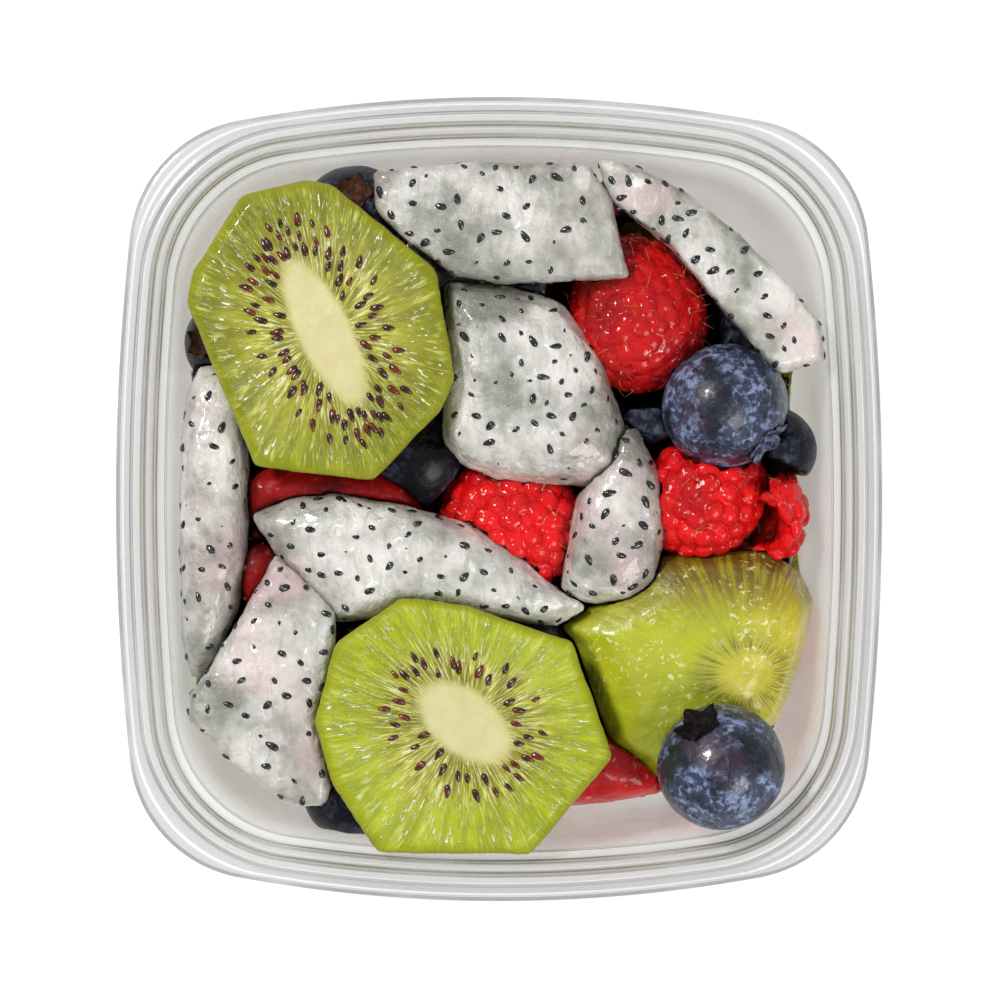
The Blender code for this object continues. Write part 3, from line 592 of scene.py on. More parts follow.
kiwi = {
    "outerGreen": srgb(170, 182, 12), "farGreen": srgb(140, 142, 14), "innerGreen": srgb(184, 182, 50),
    "deepGreen": srgb(96, 90, 18), "edgeGreen": srgb(156, 160, 34), "cream": srgb(204, 196, 146),
    # the seed rays' pale colour is partly the flesh's own and partly painted highlight; the last colour here
    # is a painted highlight for wet glints
    "paleRay": srgb(210, 210, 118), "seedRayAndPaintedGlint": srgb(232, 230, 176), "paintedGlint": srgb(232, 234, 190),
    "endGreen": srgb(174, 180, 30), "endBand": srgb(112, 88, 24), "endCore": srgb(196, 184, 54),
    "endSide": srgb(214, 196, 52), "endRay": srgb(104, 92, 18),
    "seed": srgb(38, 10, 8), "seedGlow": srgb(112, 34, 20),
    "streaks": 7.0, "voxel": 0.42, "smoothing": 20, "endSmoothing": 24,
    "seedSize": (2.2, 1.3, 0.9), "seedTaper": 0.55, "dropHeight": 0.08,
    # relief: height in m and noise scale, of the broad unevenness and then of the fine one
    "relief": (0.0004, 150.0, 0.0001, 700.0),
}

kiwiSlices = {
    # the pale core's middle, half length and half width, and its turn; seeds stand between the two rings
    "kiwi_slice_left": {"core": (-26.1, 24.9), "half": (11.4, 3.7), "turn": -64.0,
        "seeds": 92, "rings": (1.5, 7.0), "draw": 3},
    "kiwi_slice_near": {"core": (-5.1, -33.4), "half": (7.6, 4.4), "turn": -38.0,
        "seeds": 44, "rings": (1.5, 6.4), "draw": 8},
    "kiwi_end": {"core": (37.2, -26.4), "half": (2.6, 2.2), "turn": 10.0,
        "seeds": 0, "rings": (1.5, 5.0), "draw": 5},
}


def kiwiFlesh():
    material, tree, shader = newMaterial("kiwiFlesh", 0.3, Coat_Roughness=0.05, Specular_IOR_Level=0.3)
    rays = stored(tree, "rays")
    parts = axesOf(tree, stored(tree, "rings"))
    fromCore, toEdge, depth = parts[0], parts[1], parts[2]
    way = axesOf(tree, rays)[2]
    narrow = kiwi["streaks"]
    long = mapped(tree, rays, (narrow, narrow, 0.9))
    broad = noise(tree, long, 1.6, 3.0, 0.55)
    fine = noise(tree, long, 5.5, 3.0, 0.6)
    short = mapped(tree, rays, (narrow * 2.4, narrow * 2.4, 3.2))
    dashes = noise(tree, short, 2.6, 2.0, 0.6)
    spot = objectSpot(tree)
    mottle = noise(tree, spot, 320.0, 4.0, 0.6)
    patches = noise(tree, spot, 70.0, 2.0)
    fromNear = spread(tree, axesOf(tree, spot)[1], -0.02, 0.02)
    green = blendColours(tree, fromNear, kiwi["outerGreen"], kiwi["farGreen"])
    outer = blendColours(tree, spread(tree, toEdge, 0.35, 0.85), kiwi["innerGreen"], green)
    shading = spread(tree, broad, 0.38, 0.62, 0.0, 0.55)
    shaded = blendColours(tree, shading, outer, kiwi["deepGreen"], "SOFT_LIGHT")
    streaked = blendColours(tree, spread(tree, fine, 0.52, 0.7, 0.0, 0.7), shaded, kiwi["paleRay"])
    # dark, clear lines run out from the core between the pale ones, as far as the seeds go
    seedBand = times(tree, spread(tree, way, -0.01, 0.04), spread(tree, way, 0.62, 0.25))
    lines = times(tree, seedBand, spread(tree, fine, 0.5, 0.4, 0.0, 0.72))
    hollows = times(tree, seedBand, spread(tree, broad, 0.46, 0.6, 0.0, 0.3))
    hollowed = blendColours(tree, math2(tree, "MAXIMUM", lines, hollows), streaked, kiwi["deepGreen"])
    # pale lines in the seed band: partly the flesh's own pale rays, partly painted highlight for wet glints
    # along the rays
    paleLinesAndPaintedGlints = times(tree, seedBand, spread(tree, fine, 0.52, 0.62, 0.0, 0.7))
    dark = blendColours(tree, paleLinesAndPaintedGlints, hollowed, kiwi["seedRayAndPaintedGlint"])
    edge = blendColours(tree, spread(tree, toEdge, 0.88, 1.0, 0.0, 0.7), dark, kiwi["edgeGreen"])
    side = blendColours(tree, spread(tree, depth, 0.4, 1.4, 0.0, 0.55), edge, kiwi["edgeGreen"])
    ragged = plus(tree, fromCore, spread(tree, fine, 0.35, 0.7, -0.03, 0.06))
    cored = blendColours(tree, spread(tree, ragged, 1.25, 0.84), side, kiwi["cream"])
    flat = spread(tree, depth, 0.03, 0.0)
    # painted highlight: pale glints painted into the colour as short dashes on the flat cut face
    paintedGlint = times(tree, spread(tree, dashes, 0.58, 0.66), spread(tree, patches, 0.35, 0.55, 0.3, 1.0),
                spread(tree, fromCore, 1.0, 1.2), flat)
    glinting = blendColours(tree, paintedGlint, cored, kiwi["paintedGlint"])
    uneven = spread(tree, mottle, 0.3, 0.75, 0.0, 0.3)
    varied = blendColours(tree, uneven, glinting, kiwi["deepGreen"], "SOFT_LIGHT")
    wire(tree, shader, Base_Color=varied)
    wire(tree, shader, Roughness=spread(tree, mottle, 0.3, 0.7, 0.3, 0.5))
    wire(tree, shader, Coat_Weight=spread(tree, flat, 0.0, 1.0, 0.0, 0.6))
    ribbed = times(tree, fine, spread(tree, fromCore, 0.85, 1.3, 0.0, 0.8))
    height = plus(tree, ribbed, times(tree, mottle, 0.5))
    bumpFrom(tree, shader, plus(tree, height, times(tree, paintedGlint, 0.5)), 0.0006, 0.9)
    return material


def kiwiEndFlesh():
    # the end of a kiwi: smooth green flesh over a pale core that glows through, with short dark rays round it
    material, tree, shader = newMaterial("kiwiEndFlesh", 0.38, Coat_Roughness=0.12)
    rays = stored(tree, "rays")
    parts = axesOf(tree, stored(tree, "rings"))
    fromCore = parts[0]
    spot = objectSpot(tree)
    axes = axesOf(tree, spot)
    streak = noise(tree, mapped(tree, rays, (9.0, 9.0, 1.2)), 2.2, 3.0, 0.6)
    mottle = noise(tree, spot, 280.0, 4.0, 0.6)
    ring = times(tree, spread(tree, fromCore, 1.2, 2.0), spread(tree, fromCore, 3.8, 2.0))
    dark = times(tree, ring, spread(tree, streak, 0.42, 0.62, 0.15, 0.75))
    fromFar = spread(tree, axes[1], -0.0215, -0.0105)
    band = times(tree, fromFar, spread(tree, streak, 0.34, 0.6, 0.5, 1.0))
    toRight = spread(tree, axes[0], 0.032, 0.046, 0.0, 0.75)
    flesh = blendColours(tree, toRight, kiwi["endGreen"], kiwi["endSide"])
    stripes = spread(tree, streak, 0.45, 0.7, 0.0, 0.2)
    striped = blendColours(tree, stripes, flesh, kiwi["endBand"], "SOFT_LIGHT")
    banded = blendColours(tree, band, striped, kiwi["endBand"])
    rayed = blendColours(tree, dark, banded, kiwi["endRay"])
    glow = plus(tree, fromCore, spread(tree, streak, 0.3, 0.7, -0.4, 0.4))
    cored = blendColours(tree, spread(tree, glow, 2.2, 0.6), rayed, kiwi["endCore"])
    # painted highlight: small pale glints painted into the colour, in patches
    sparks = noise(tree, spot, 1100.0, 3.0, 0.6, 0.5)
    glintRegions = spread(tree, noise(tree, spot, 90.0, 2.0), 0.42, 0.56, 0.05, 0.7)
    paintedGlintDrops = times(tree, spread(tree, sparks, 0.57, 0.68), glintRegions)
    glinting = blendColours(tree, paintedGlintDrops, cored, kiwi["paintedGlint"])
    uneven = spread(tree, mottle, 0.3, 0.75, 0.0, 0.35)
    varied = blendColours(tree, uneven, glinting, kiwi["deepGreen"], "SOFT_LIGHT")
    wire(tree, shader, Base_Color=varied)
    wire(tree, shader, Roughness=spread(tree, mottle, 0.3, 0.7, 0.3, 0.5))
    wire(tree, shader, Coat_Weight=spread(tree, fromFar, 0.0, 1.0, 0.45, 0.1))
    bumpFrom(tree, shader, plus(tree, times(tree, streak, 0.12), times(tree, mottle, 0.8)),
             0.0007, 0.9)
    return material


def storeSlicePattern(mesh, flat, half, turn, depth):
    # rays: direction from the core and share of the way out; rings: core share, way out, depth in mm
    angle = math.radians(turn)
    along = flat[:, 0] * math.cos(angle) + flat[:, 1] * math.sin(angle)
    across = -flat[:, 0] * math.sin(angle) + flat[:, 1] * math.cos(angle)
    fromCore = np.hypot(along / half[0], across / half[1])
    distance = np.hypot(along, across)
    coreReach = distance / np.maximum(fromCore, 1e-6)
    outReach = np.maximum(edgeReach(flat), 1.0)
    toEdge = distance / outReach
    way = np.clip((distance - coreReach) / np.maximum(outReach - coreReach, 0.5), -1.0, 1.3)
    heading = np.arctan2(across / half[1] ** 0.6, along / half[0] ** 0.6)
    storeVector(mesh, "rays", np.stack([np.cos(heading), np.sin(heading), way], axis=1))
    storeVector(mesh, "rings", np.stack([fromCore, toEdge, depth], axis=1))


def edgeReach(flat, slots=90):
    # how far the skin reaches from the core in each direction, read from its own points, in mm
    heading = np.arctan2(flat[:, 1], flat[:, 0])
    reach = np.hypot(flat[:, 0], flat[:, 1])
    slot = ((heading + math.pi) / math.tau * slots).astype(int) % slots
    far = np.zeros(slots)
    np.maximum.at(far, slot, reach)
    centres = (np.arange(slots) + 0.5) / slots * math.tau - math.pi
    return np.interp(heading, centres, far, period=math.tau)


def sideDepth(mesh, axis=(0.0, 0.0, 1.0)):
    # 0 on faces that look along the axis, more on the sides, as a depth in mm
    normals = np.empty(len(mesh.vertices) * 3, np.float32)
    mesh.vertices.foreach_get("normal", normals)
    along = np.abs(normals.reshape(-1, 3) @ np.array(axis))
    return np.clip((0.97 - along) * 4.0, 0.0, 3.0)


def kiwiSeedRing(name, settings, flesh, seed, material):
    # seeds stand round the core in loose rings, each pointing at it, dropped onto the cut face
    draw = random.Random(settings["draw"])
    tree = bpy.data.node_groups.get("seeds round a core") or seedRingTree()
    obj = newObject(name, bpy.data.meshes.new(name))
    (halfLength, halfWidth), (nearest, farthest), (x, y) = (settings[key] for key in ("half", "rings", "core"))
    runTree(obj, tree, {
        "Flesh": flesh, "Seed shape": seed, "Count": settings["seeds"], "Half length": halfLength * mm,
        "Half width": halfWidth * mm, "Nearest": nearest * mm, "Farthest": farthest * mm,
        "Middle": (x * mm, y * mm, kiwi["dropHeight"]), "Turn": math.radians(settings["turn"]),
        "Draw": draw.randrange(100), "Material": material})
    return obj


def seedRingTree():
    tree, inputs, result = newTree("seeds round a core", {
        "Flesh": ("Object", None), "Seed shape": ("Object", None), "Count": ("Int", 40),
        "Half length": ("Float", 0.01), "Half width": ("Float", 0.005), "Nearest": ("Float", 0.002),
        "Farthest": ("Float", 0.007), "Middle": ("Vector", (0.0, 0.0, 0.0)), "Turn": ("Float", 0.0),
        "Draw": ("Int", 1), "Material": ("Material", None)})
    index = addNode(tree, "GeometryNodeInputIndex").outputs[0]

    def drawn(low, high, shift):
        seed = plus(tree, inputs["Draw"], shift)
        return addNode(tree, "FunctionNodeRandomValue", {2: low, 3: high, "ID": index, "Seed": seed},
                       data_type="FLOAT").outputs[1]
    step = math2(tree, "DIVIDE", math.tau, inputs["Count"])
    angle = times(tree, plus(tree, index, drawn(-0.45, 0.45, 1.0)), step)
    cosine, sine = math2(tree, "COSINE", angle), math2(tree, "SINE", angle)
    third = math2(tree, "FLOORED_MODULO", index, 3.0)
    out = plus(tree, times(tree, third, 0.33), drawn(-0.05, 0.36, 2.0))
    room = minus(tree, inputs["Farthest"], inputs["Nearest"])
    gap = plus(tree, inputs["Nearest"], times(tree, out, room))
    x = times(tree, plus(tree, inputs["Half length"], gap), cosine)
    y = times(tree, plus(tree, inputs["Half width"], gap), sine)
    flat = addNode(tree, "ShaderNodeCombineXYZ", {0: x, 1: y, 2: 0.0})
    turned = addNode(tree, "ShaderNodeVectorRotate", {"Vector": flat.outputs[0], "Angle": inputs["Turn"]},
                     rotation_type="Z_AXIS")
    spot = addNode(tree, "ShaderNodeVectorMath", {0: turned.outputs[0], 1: inputs["Middle"]}, operation="ADD")
    line = addNode(tree, "GeometryNodePoints", {"Count": inputs["Count"], "Position": spot.outputs[0]})
    flesh = addNode(tree, "GeometryNodeObjectInfo", {"Object": inputs["Flesh"]})
    hit = addNode(tree, "GeometryNodeRaycast", {"Target Geometry": flesh.outputs["Geometry"],
                                                "Ray Direction": (0.0, 0.0, -1.0), "Ray Length": 0.1})
    landed = addNode(tree, "GeometryNodeSetPosition", {
        0: line.outputs[0], "Position": hit.outputs["Hit Position"]})
    heading = plus(tree, math2(tree, "ARCTAN2", y, x), inputs["Turn"])
    wobble = plus(tree, heading, drawn(-0.3, 0.3, 3.0))
    spin = addNode(tree, "ShaderNodeCombineXYZ", {
        0: drawn(-0.4, 0.4, 4.0), 1: drawn(-0.2, 0.2, 5.0), 2: wobble})
    shape = addNode(tree, "GeometryNodeObjectInfo", {"Object": inputs["Seed shape"]})
    placed = addNode(tree, "GeometryNodeInstanceOnPoints", {
        "Points": landed.outputs[0], "Instance": shape.outputs["Geometry"], "Rotation": spin.outputs[0],
        "Scale": drawn(0.75, 1.15, 6.0)})
    return realized(tree, inputs, placed.outputs[0], result)


def seedGloss(name, dark, toneAndSheen, scale, roughness=0.22):
    material, tree, shader = newMaterial(name, roughness, Coat_Weight=0.4, Coat_Roughness=0.08)
    patches = noise(tree, objectSpot(tree), scale, 2.0)
    # the second colour is the seed's own tone on kiwi seeds and achenes, and a painted sheen on dragon fruit
    # seeds
    wire(tree, shader, Base_Color=blendColours(tree, spread(tree, patches, 0.4, 0.7), dark, toneAndSheen))
    bumpFrom(tree, shader, noise(tree, objectSpot(tree), 2500.0, 2.0), 0.00008, 0.6)
    return material


def makeKiwi():
    flesh, endFlesh = kiwiFlesh(), kiwiEndFlesh()
    seed = seedShape("kiwi_seed_shape", *kiwi["seedSize"], kiwi["seedTaper"])
    shine = seedGloss("kiwiSeed", kiwi["seed"], kiwi["seedGlow"], 600.0)
    for nodeName, settings in kiwiSlices.items():
        smoothing = kiwi["smoothing"] if settings["seeds"] else kiwi["endSmoothing"]
        obj = skinOf(nodeName, kiwi["voxel"], smoothing)
        flat = pointsOf(obj.data)[:, :2] / mm - np.array(settings["core"])
        storeSlicePattern(obj.data, flat, settings["half"], settings["turn"], sideDepth(obj.data))
        roughen(obj, *kiwi["relief"], settings["draw"])
        setPoints(obj.data, insideWall(pointsOf(obj.data)))
        dress(obj, flesh if settings["seeds"] else endFlesh)
        finishPiece(obj, "kiwi_flesh", nodeName)
        if settings["seeds"]:
            seeds = kiwiSeedRing(nodeName + "_seeds", settings, obj, seed, shine)
            smoothShade(seeds.data)
            finishPiece(seeds, "kiwi_flesh")
    report("kiwi done")
    return flesh, seed, shine


# dragon fruit

dragonFruit = {
    "white": srgb(216, 214, 207), "clearer": srgb(124, 123, 112), "pink": srgb(212, 178, 180),
    "paintedGlint": srgb(246, 246, 240), "seed": srgb(10, 11, 13), "seedSheen": srgb(52, 56, 62),
    "ghost": srgb(104, 106, 108),
    "voxel": 0.8, "finer": 1,
    "seedSize": (2.35, 1.5, 1.0), "seedSink": 0.5, "swell": 0.12, "relief": (0.0005, 190.0, 0.0002, 800.0),
}

dragonPieces = {
    # spacing: the least from seed to seed in mm; bare: share of the flesh with none; sizes: least and largest
    "dragon_fruit_far": {"smoothing": 3, "draw": 11, "spacing": 2.7, "bare": 0.41, "sizes": (0.7, 1.05)},
    "dragon_fruit_corner": {"smoothing": 3, "draw": 12, "spacing": 2.3, "bare": 0.38, "sizes": (0.7, 1.0)},
    "dragon_fruit_middle": {"smoothing": 3, "draw": 13, "spacing": 2.3, "bare": 0.4, "sizes": (0.55, 1.0)},
    "dragon_fruit_crescent": {"smoothing": 5, "draw": 14, "spacing": 2.5, "bare": 0.34, "sizes": (0.7, 1.0)},
    "dragon_fruit_right": {"smoothing": 5, "draw": 15, "spacing": 2.4, "bare": 0.32, "sizes": (0.75, 1.08)},
    "dragon_fruit_near": {"smoothing": 3, "draw": 16, "spacing": 2.8, "bare": 0.3, "sizes": (0.75, 1.05)},
    "dragon_fruit_left": {"smoothing": 4, "draw": 17, "spacing": 2.8, "bare": 0.4, "sizes": (0.65, 1.0)},
}
heapSeeds = {"spacing": 2.7, "bare": 0.38, "sizes": (0.7, 1.08)}


def dragonFlesh():
    material, tree, shader = newMaterial("dragonFruitFlesh", 0.35, Coat_Weight=0.6, Coat_Roughness=0.06)
    spot = objectSpot(tree)
    cloud = noise(tree, spot, 75.0, 4.0, 0.6)
    grain = noise(tree, spot, 800.0, 4.0, 0.65)
    fibres = noise(tree, mapped(tree, spot, (430.0, 170.0, 260.0), (0.3, 0.2, 0.9)), 1.0, 4.0, 0.65, 1.2)
    blush = noise(tree, spot, 48.0, 2.0)
    base = blendColours(tree, spread(tree, cloud, 0.34, 0.64), dragonFruit["clearer"], dragonFruit["white"])
    streaked = blendColours(tree, spread(tree, fibres, 0.44, 0.66, 0.0, 0.32), base, dragonFruit["clearer"])
    tinted = blendColours(tree, spread(tree, blush, 0.54, 0.7, 0.0, 0.55), streaked, dragonFruit["pink"])
    sunk = addNode(tree, "ShaderNodeTexVoronoi", {"Vector": spot, "Scale": 300.0}).outputs["Distance"]
    ghosts = times(tree, spread(tree, sunk, 0.24, 0.1), spread(tree, cloud, 0.52, 0.42))
    faded = blendColours(tree, times(tree, ghosts, 0.5), tinted, dragonFruit["ghost"])
    # painted highlight: pale wet glints painted into the colour
    sparks = noise(tree, spot, 520.0, 3.0, 0.6, 0.6)
    paintedGlint = times(tree, spread(tree, sparks, 0.63, 0.7), spread(tree, cloud, 0.4, 0.6))
    glinting = blendColours(tree, times(tree, paintedGlint, 0.8), faded, dragonFruit["paintedGlint"])
    wire(tree, shader, Base_Color=glinting)
    wire(tree, shader, Roughness=spread(tree, grain, 0.35, 0.7, 0.25, 0.48))
    height = plus(tree, times(tree, grain, 0.5), times(tree, fibres, 0.3))
    bumpFrom(tree, shader, plus(tree, height, times(tree, sparks, 0.7)), 0.0006, 0.9)
    return material


def dragonScatter(settings, draw, lowest):
    return {"Distance": settings["spacing"] * mm, "Density": 320000.0, "Sink": dragonFruit["seedSink"] * mm,
            "Smallest": settings["sizes"][0], "Largest": settings["sizes"][1], "Lowest facing": lowest,
            "Patch scale": 130.0, "Patch share": settings["bare"], "Draw": draw}


def scatterSeeds(name, flesh, seed, material, values):
    obj = newObject(name, flesh.data.copy())
    runTree(obj, trees["scatter"], {"Seed shape": seed, "Material": material, **values})
    smoothShade(obj.data)
    return obj


def joinMeshes(name, objects, material):
    # one piece out of several finished meshes
    builder = bmesh.new()
    for obj in objects:
        builder.from_mesh(obj.data)
    for face in builder.faces:
        face.material_index = 0
    joined = newObject(name, meshOf(builder, name), material)
    smoothShade(joined.data)
    for obj in objects:
        drop(obj)
    return joined


def makeDragonFruit():
    flesh = dragonFlesh()
    seed = seedShape("dragon_seed_shape", *dragonFruit["seedSize"], 0.45)
    shine = seedGloss("dragonFruitSeed", dragonFruit["seed"], dragonFruit["seedSheen"], 900.0, 0.2)
    scattered = []
    for nodeName, settings in dragonPieces.items():
        obj = skinOf(nodeName, dragonFruit["voxel"], settings["smoothing"], dragonFruit["finer"],
                     dragonFruit["swell"])
        roughen(obj, *dragonFruit["relief"], settings["draw"])
        setPoints(obj.data, insideWall(pointsOf(obj.data)))
        dress(obj, flesh)
        finishPiece(obj, "dragon_fruit_flesh", nodeName)
        scatter = dragonScatter(settings, settings["draw"], -0.2)
        scattered.append(scatterSeeds(nodeName + "_seeds", obj, seed, shine, scatter))
    finishPiece(joinMeshes("dragon_fruit_seeds", scattered, shine), "dragon_fruit_flesh")
    report("dragon fruit done")
    return flesh, seed, shine


# berries

def berryMatrix(berry):
    turn = Euler([math.radians(angle) for angle in berry["turn"]]).to_matrix().to_4x4()
    return Matrix.Translation(Vector(berry["at"]) * mm) @ turn


def roundOut(obj, berry, share=1.0, taper=0.0):
    # draws the skin out to the berry's true round form, away from where others press into it
    place = berryMatrix(berry)
    local = carried(pointsOf(obj.data), place.inverted())
    half = np.array(berry["half"]) * mm * share
    polar = np.clip(local[:, 2] / half[2], -1.0, 1.0)
    wide = np.stack([1.0 + taper * polar, 1.0 + taper * polar, np.ones(len(polar))], axis=1)
    scaled = local / (half * wide)
    reach = np.linalg.norm(scaled, axis=1)
    pull = np.clip((reach - 0.86) / 0.06, 0.0, 1.0)[:, None]
    target = local / np.maximum(reach, 1e-6)[:, None]
    setPoints(obj.data, carried(local * (1 - pull) + target * pull, place))


blueberry = {
    "deep": srgb(18, 21, 34), "blue": srgb(46, 54, 80), "bloom": srgb(132, 148, 182),
    "purple": srgb(66, 42, 58), "speck": srgb(10, 10, 16), "crown": srgb(10, 8, 10),
    "crownEdge": srgb(40, 34, 36), "flap": srgb(150, 156, 172), "dryBrown": srgb(52, 30, 22),
    "dryEdge": srgb(96, 62, 44),
    "voxel": 0.8, "smoothing": 4, "finer": 1,
    "relief": (0.00022, 120.0, 0.00003, 900.0), "lobes": 5, "lobeSteps": 8, "highest": 60.9,
    # the crown's radius on a berry of full half width, its rise, and how deep the skin sinks under it, in mm
    "crownRadius": 2.9, "fullHalf": 9.5, "crownRise": 1.5, "dent": 2.1,
    "inShade": ("blueberry_far_left", "blueberry_far_right", "blueberry_middle", "blueberry_centre",
                "blueberry_edge", "blueberry_left", "blueberry_near_left"),
    "shade": 0.2, "heapShade": 0.5,
}

blueberries = {
    "blueberry_near": {"at": (33.2, -40.1, 51.6), "half": (9.7, 9.5, 9.2),
        "turn": (-48, -37, 0), "open": 1.0},
    "blueberry_right": {"at": (34.2, 14.1, 44.2), "half": (10.4, 9.6, 9.2),
        "turn": (41, 65, 0), "open": 0.8},
    "blueberry_far_left": {"at": (-22.0, 43.4, 38.2), "half": (8.0, 7.6, 7.4),
        "turn": (-25, 0, 0), "open": 0.8, "dry": True},
    "blueberry_far_right": {"at": (33.2, 28.2, 35.4), "half": (8.4, 8.2, 7.8),
        "turn": (20, 10, 0), "bare": True},
    "blueberry_middle": {"at": (-12.2, 6.2, 38.2), "half": (8.2, 8.2, 7.8),
        "turn": (-30, 20, 0)},
    "blueberry_centre": {"at": (22.6, 12.4, 36.0), "half": (7.6, 7.6, 7.2),
        "turn": (30, 0, 0), "bare": True},
    "blueberry_edge": {"at": (42.2, 7.6, 37.2), "half": (6.4, 6.4, 6.2),
        "turn": (-20, 20, 0), "bare": True},
    "blueberry_left": {"at": (-41.4, 23.8, 37.0), "half": (6.8, 6.8, 6.6),
        "turn": (0, -36, 0), "open": 0.8, "dry": True},
    "blueberry_near_left": {"at": (-22.6, -44.6, 37.6), "half": (7.4, 7.4, 7.0),
        "turn": (0, 10, 0), "bare": True},
}


def dimmed(colours, light):
    # a fruit's colours where less light comes, its words and sizes left out
    return {key: (*[part * light for part in value[:3]], 1.0) for key, value in colours.items()
            if isinstance(value, tuple) and len(value) == 4}


def blueberrySkin(name, light=1.0):
    # dusty bloom worn off in streaks and specks; a berry under the others gets painted shade: darker colours
    # and less gloss
    lit = dimmed(blueberry, light)
    material, tree, shader = newMaterial(name, 0.42, Coat_Weight=0.3 * light, Coat_Roughness=0.08)
    shader.inputs["Specular IOR Level"].default_value = 0.15 + 0.2 * light
    spot = objectSpot(tree)
    cloud = noise(tree, spot, 170.0, 5.0, 0.65, 0.2)
    streak = noise(tree, spot, 620.0, 5.0, 0.75, 0.4)
    blush = noise(tree, spot, 70.0, 2.0)
    base = blendColours(tree, spread(tree, cloud, 0.4, 0.57), lit["deep"], lit["blue"])
    dust = times(tree, spread(tree, streak, 0.46, 0.6), spread(tree, cloud, 0.4, 0.6, 0.05, 1.0))
    dusty = blendColours(tree, dust, base, lit["bloom"])
    toneAndSheen = blendColours(tree, spread(tree, blush, 0.56, 0.72, 0.0, 0.55), dusty, lit["purple"])
    specks = addNode(tree, "ShaderNodeTexVoronoi", {"Vector": spot, "Scale": 560.0}).outputs["Distance"]
    scuffs = times(tree, spread(tree, specks, 0.36, 0.2), spread(tree, streak, 0.42, 0.54))
    dotted = blendColours(tree, times(tree, scuffs, 0.9), toneAndSheen, blueberry["speck"])
    along = mapped(tree, spot, (700.0, 160.0, 240.0), (0.4, 0.7, 0.5))
    scratches = spread(tree, noise(tree, along, 1.0, 3.0, 0.6, 1.0), 0.6, 0.7, 0.0, 0.85)
    worn = blendColours(tree, scratches, dotted, blueberry["speck"])
    wire(tree, shader, Base_Color=worn)
    wire(tree, shader, Roughness=spread(tree, cloud, 0.35, 0.7, 0.28, 0.6))
    bumpFrom(tree, shader, plus(tree, streak, times(tree, specks, -0.4)), 0.0002, 0.6)
    return material


def crownMaterial(name, dark, edge):
    material, tree, shader = newMaterial(name, 0.7)
    shader.inputs["Specular IOR Level"].default_value = 0.1
    spot = objectSpot(tree)
    fibres = noise(tree, spot, 900.0, 4.0, 0.7)
    wire(tree, shader, Base_Color=blendColours(tree, spread(tree, fibres, 0.42, 0.7), dark, edge))
    bumpFrom(tree, shader, fibres, 0.0003, 0.8)
    return material


def crownRadius(berry):
    return blueberry["crownRadius"] * mm * (berry["half"][0] / blueberry["fullHalf"])


def crownMesh(berry, draw):
    # the dry calyx: a ring of ragged lobes that lean out round a sunken, wrinkled eye
    half = [size * mm for size in berry["half"]]
    radius = crownRadius(berry)
    rise = blueberry["crownRise"] * mm * berry.get("open", 0.5)
    lobes, lobeSteps = blueberry["lobes"], blueberry["lobeSteps"]
    steps = lobes * lobeSteps
    tatter = [draw.uniform(0.75, 1.2) for _ in range(lobes)]
    builder = bmesh.new()
    eyeLift, lip, footDepth = -0.75, 0.86, 2.0
    # share of the radius, share of the rise, and how far the lobes show there
    profile = ((0.35, -0.8, 0.05), (0.62, -0.55, 0.12), (lip, 0.1, 0.3), (1.12, 0.62, 0.8), (1.3, 1.0, 1.0),
               (1.16, 0.5, 0.8), (0.95, -0.05, 0.3))
    rings = []
    for out, lift, lobed in profile:
        ring = []
        for step in range(steps):
            turn = math.tau * step / steps
            lobe = abs(1 - 2 * ((lobes * turn / math.tau) % 1.0)) ** 0.9
            height = lift * rise * (1 - lobed + lobed * lobe * tatter[int(step / lobeSteps) % lobes])
            share = out - (out - lip) * lobed * (1 - lobe) if out > 0.9 else out
            wide = radius * share * draw.uniform(0.92, 1.08)
            z = half[2] * math.sqrt(max(0.0, 1 - (wide / half[0]) ** 2)) + height - 0.0002
            ring.append(builder.verts.new((wide * math.cos(turn), wide * math.sin(turn), z)))
        rings.append(ring)
    bridge(builder, rings[::-1])
    # it closes below the eye, inside the berry
    eye = builder.verts.new((0.0, 0.0, half[2] + eyeLift * rise))
    foot = builder.verts.new((0.0, 0.0, half[2] - footDepth * rise))
    for k in range(steps):
        builder.faces.new((eye, rings[0][k], rings[0][(k + 1) % steps]))
        builder.faces.new((foot, rings[-1][(k + 1) % steps], rings[-1][k]))
    bmesh.ops.transform(builder, matrix=berryMatrix(berry), verts=builder.verts)
    return meshOf(builder, "crown")


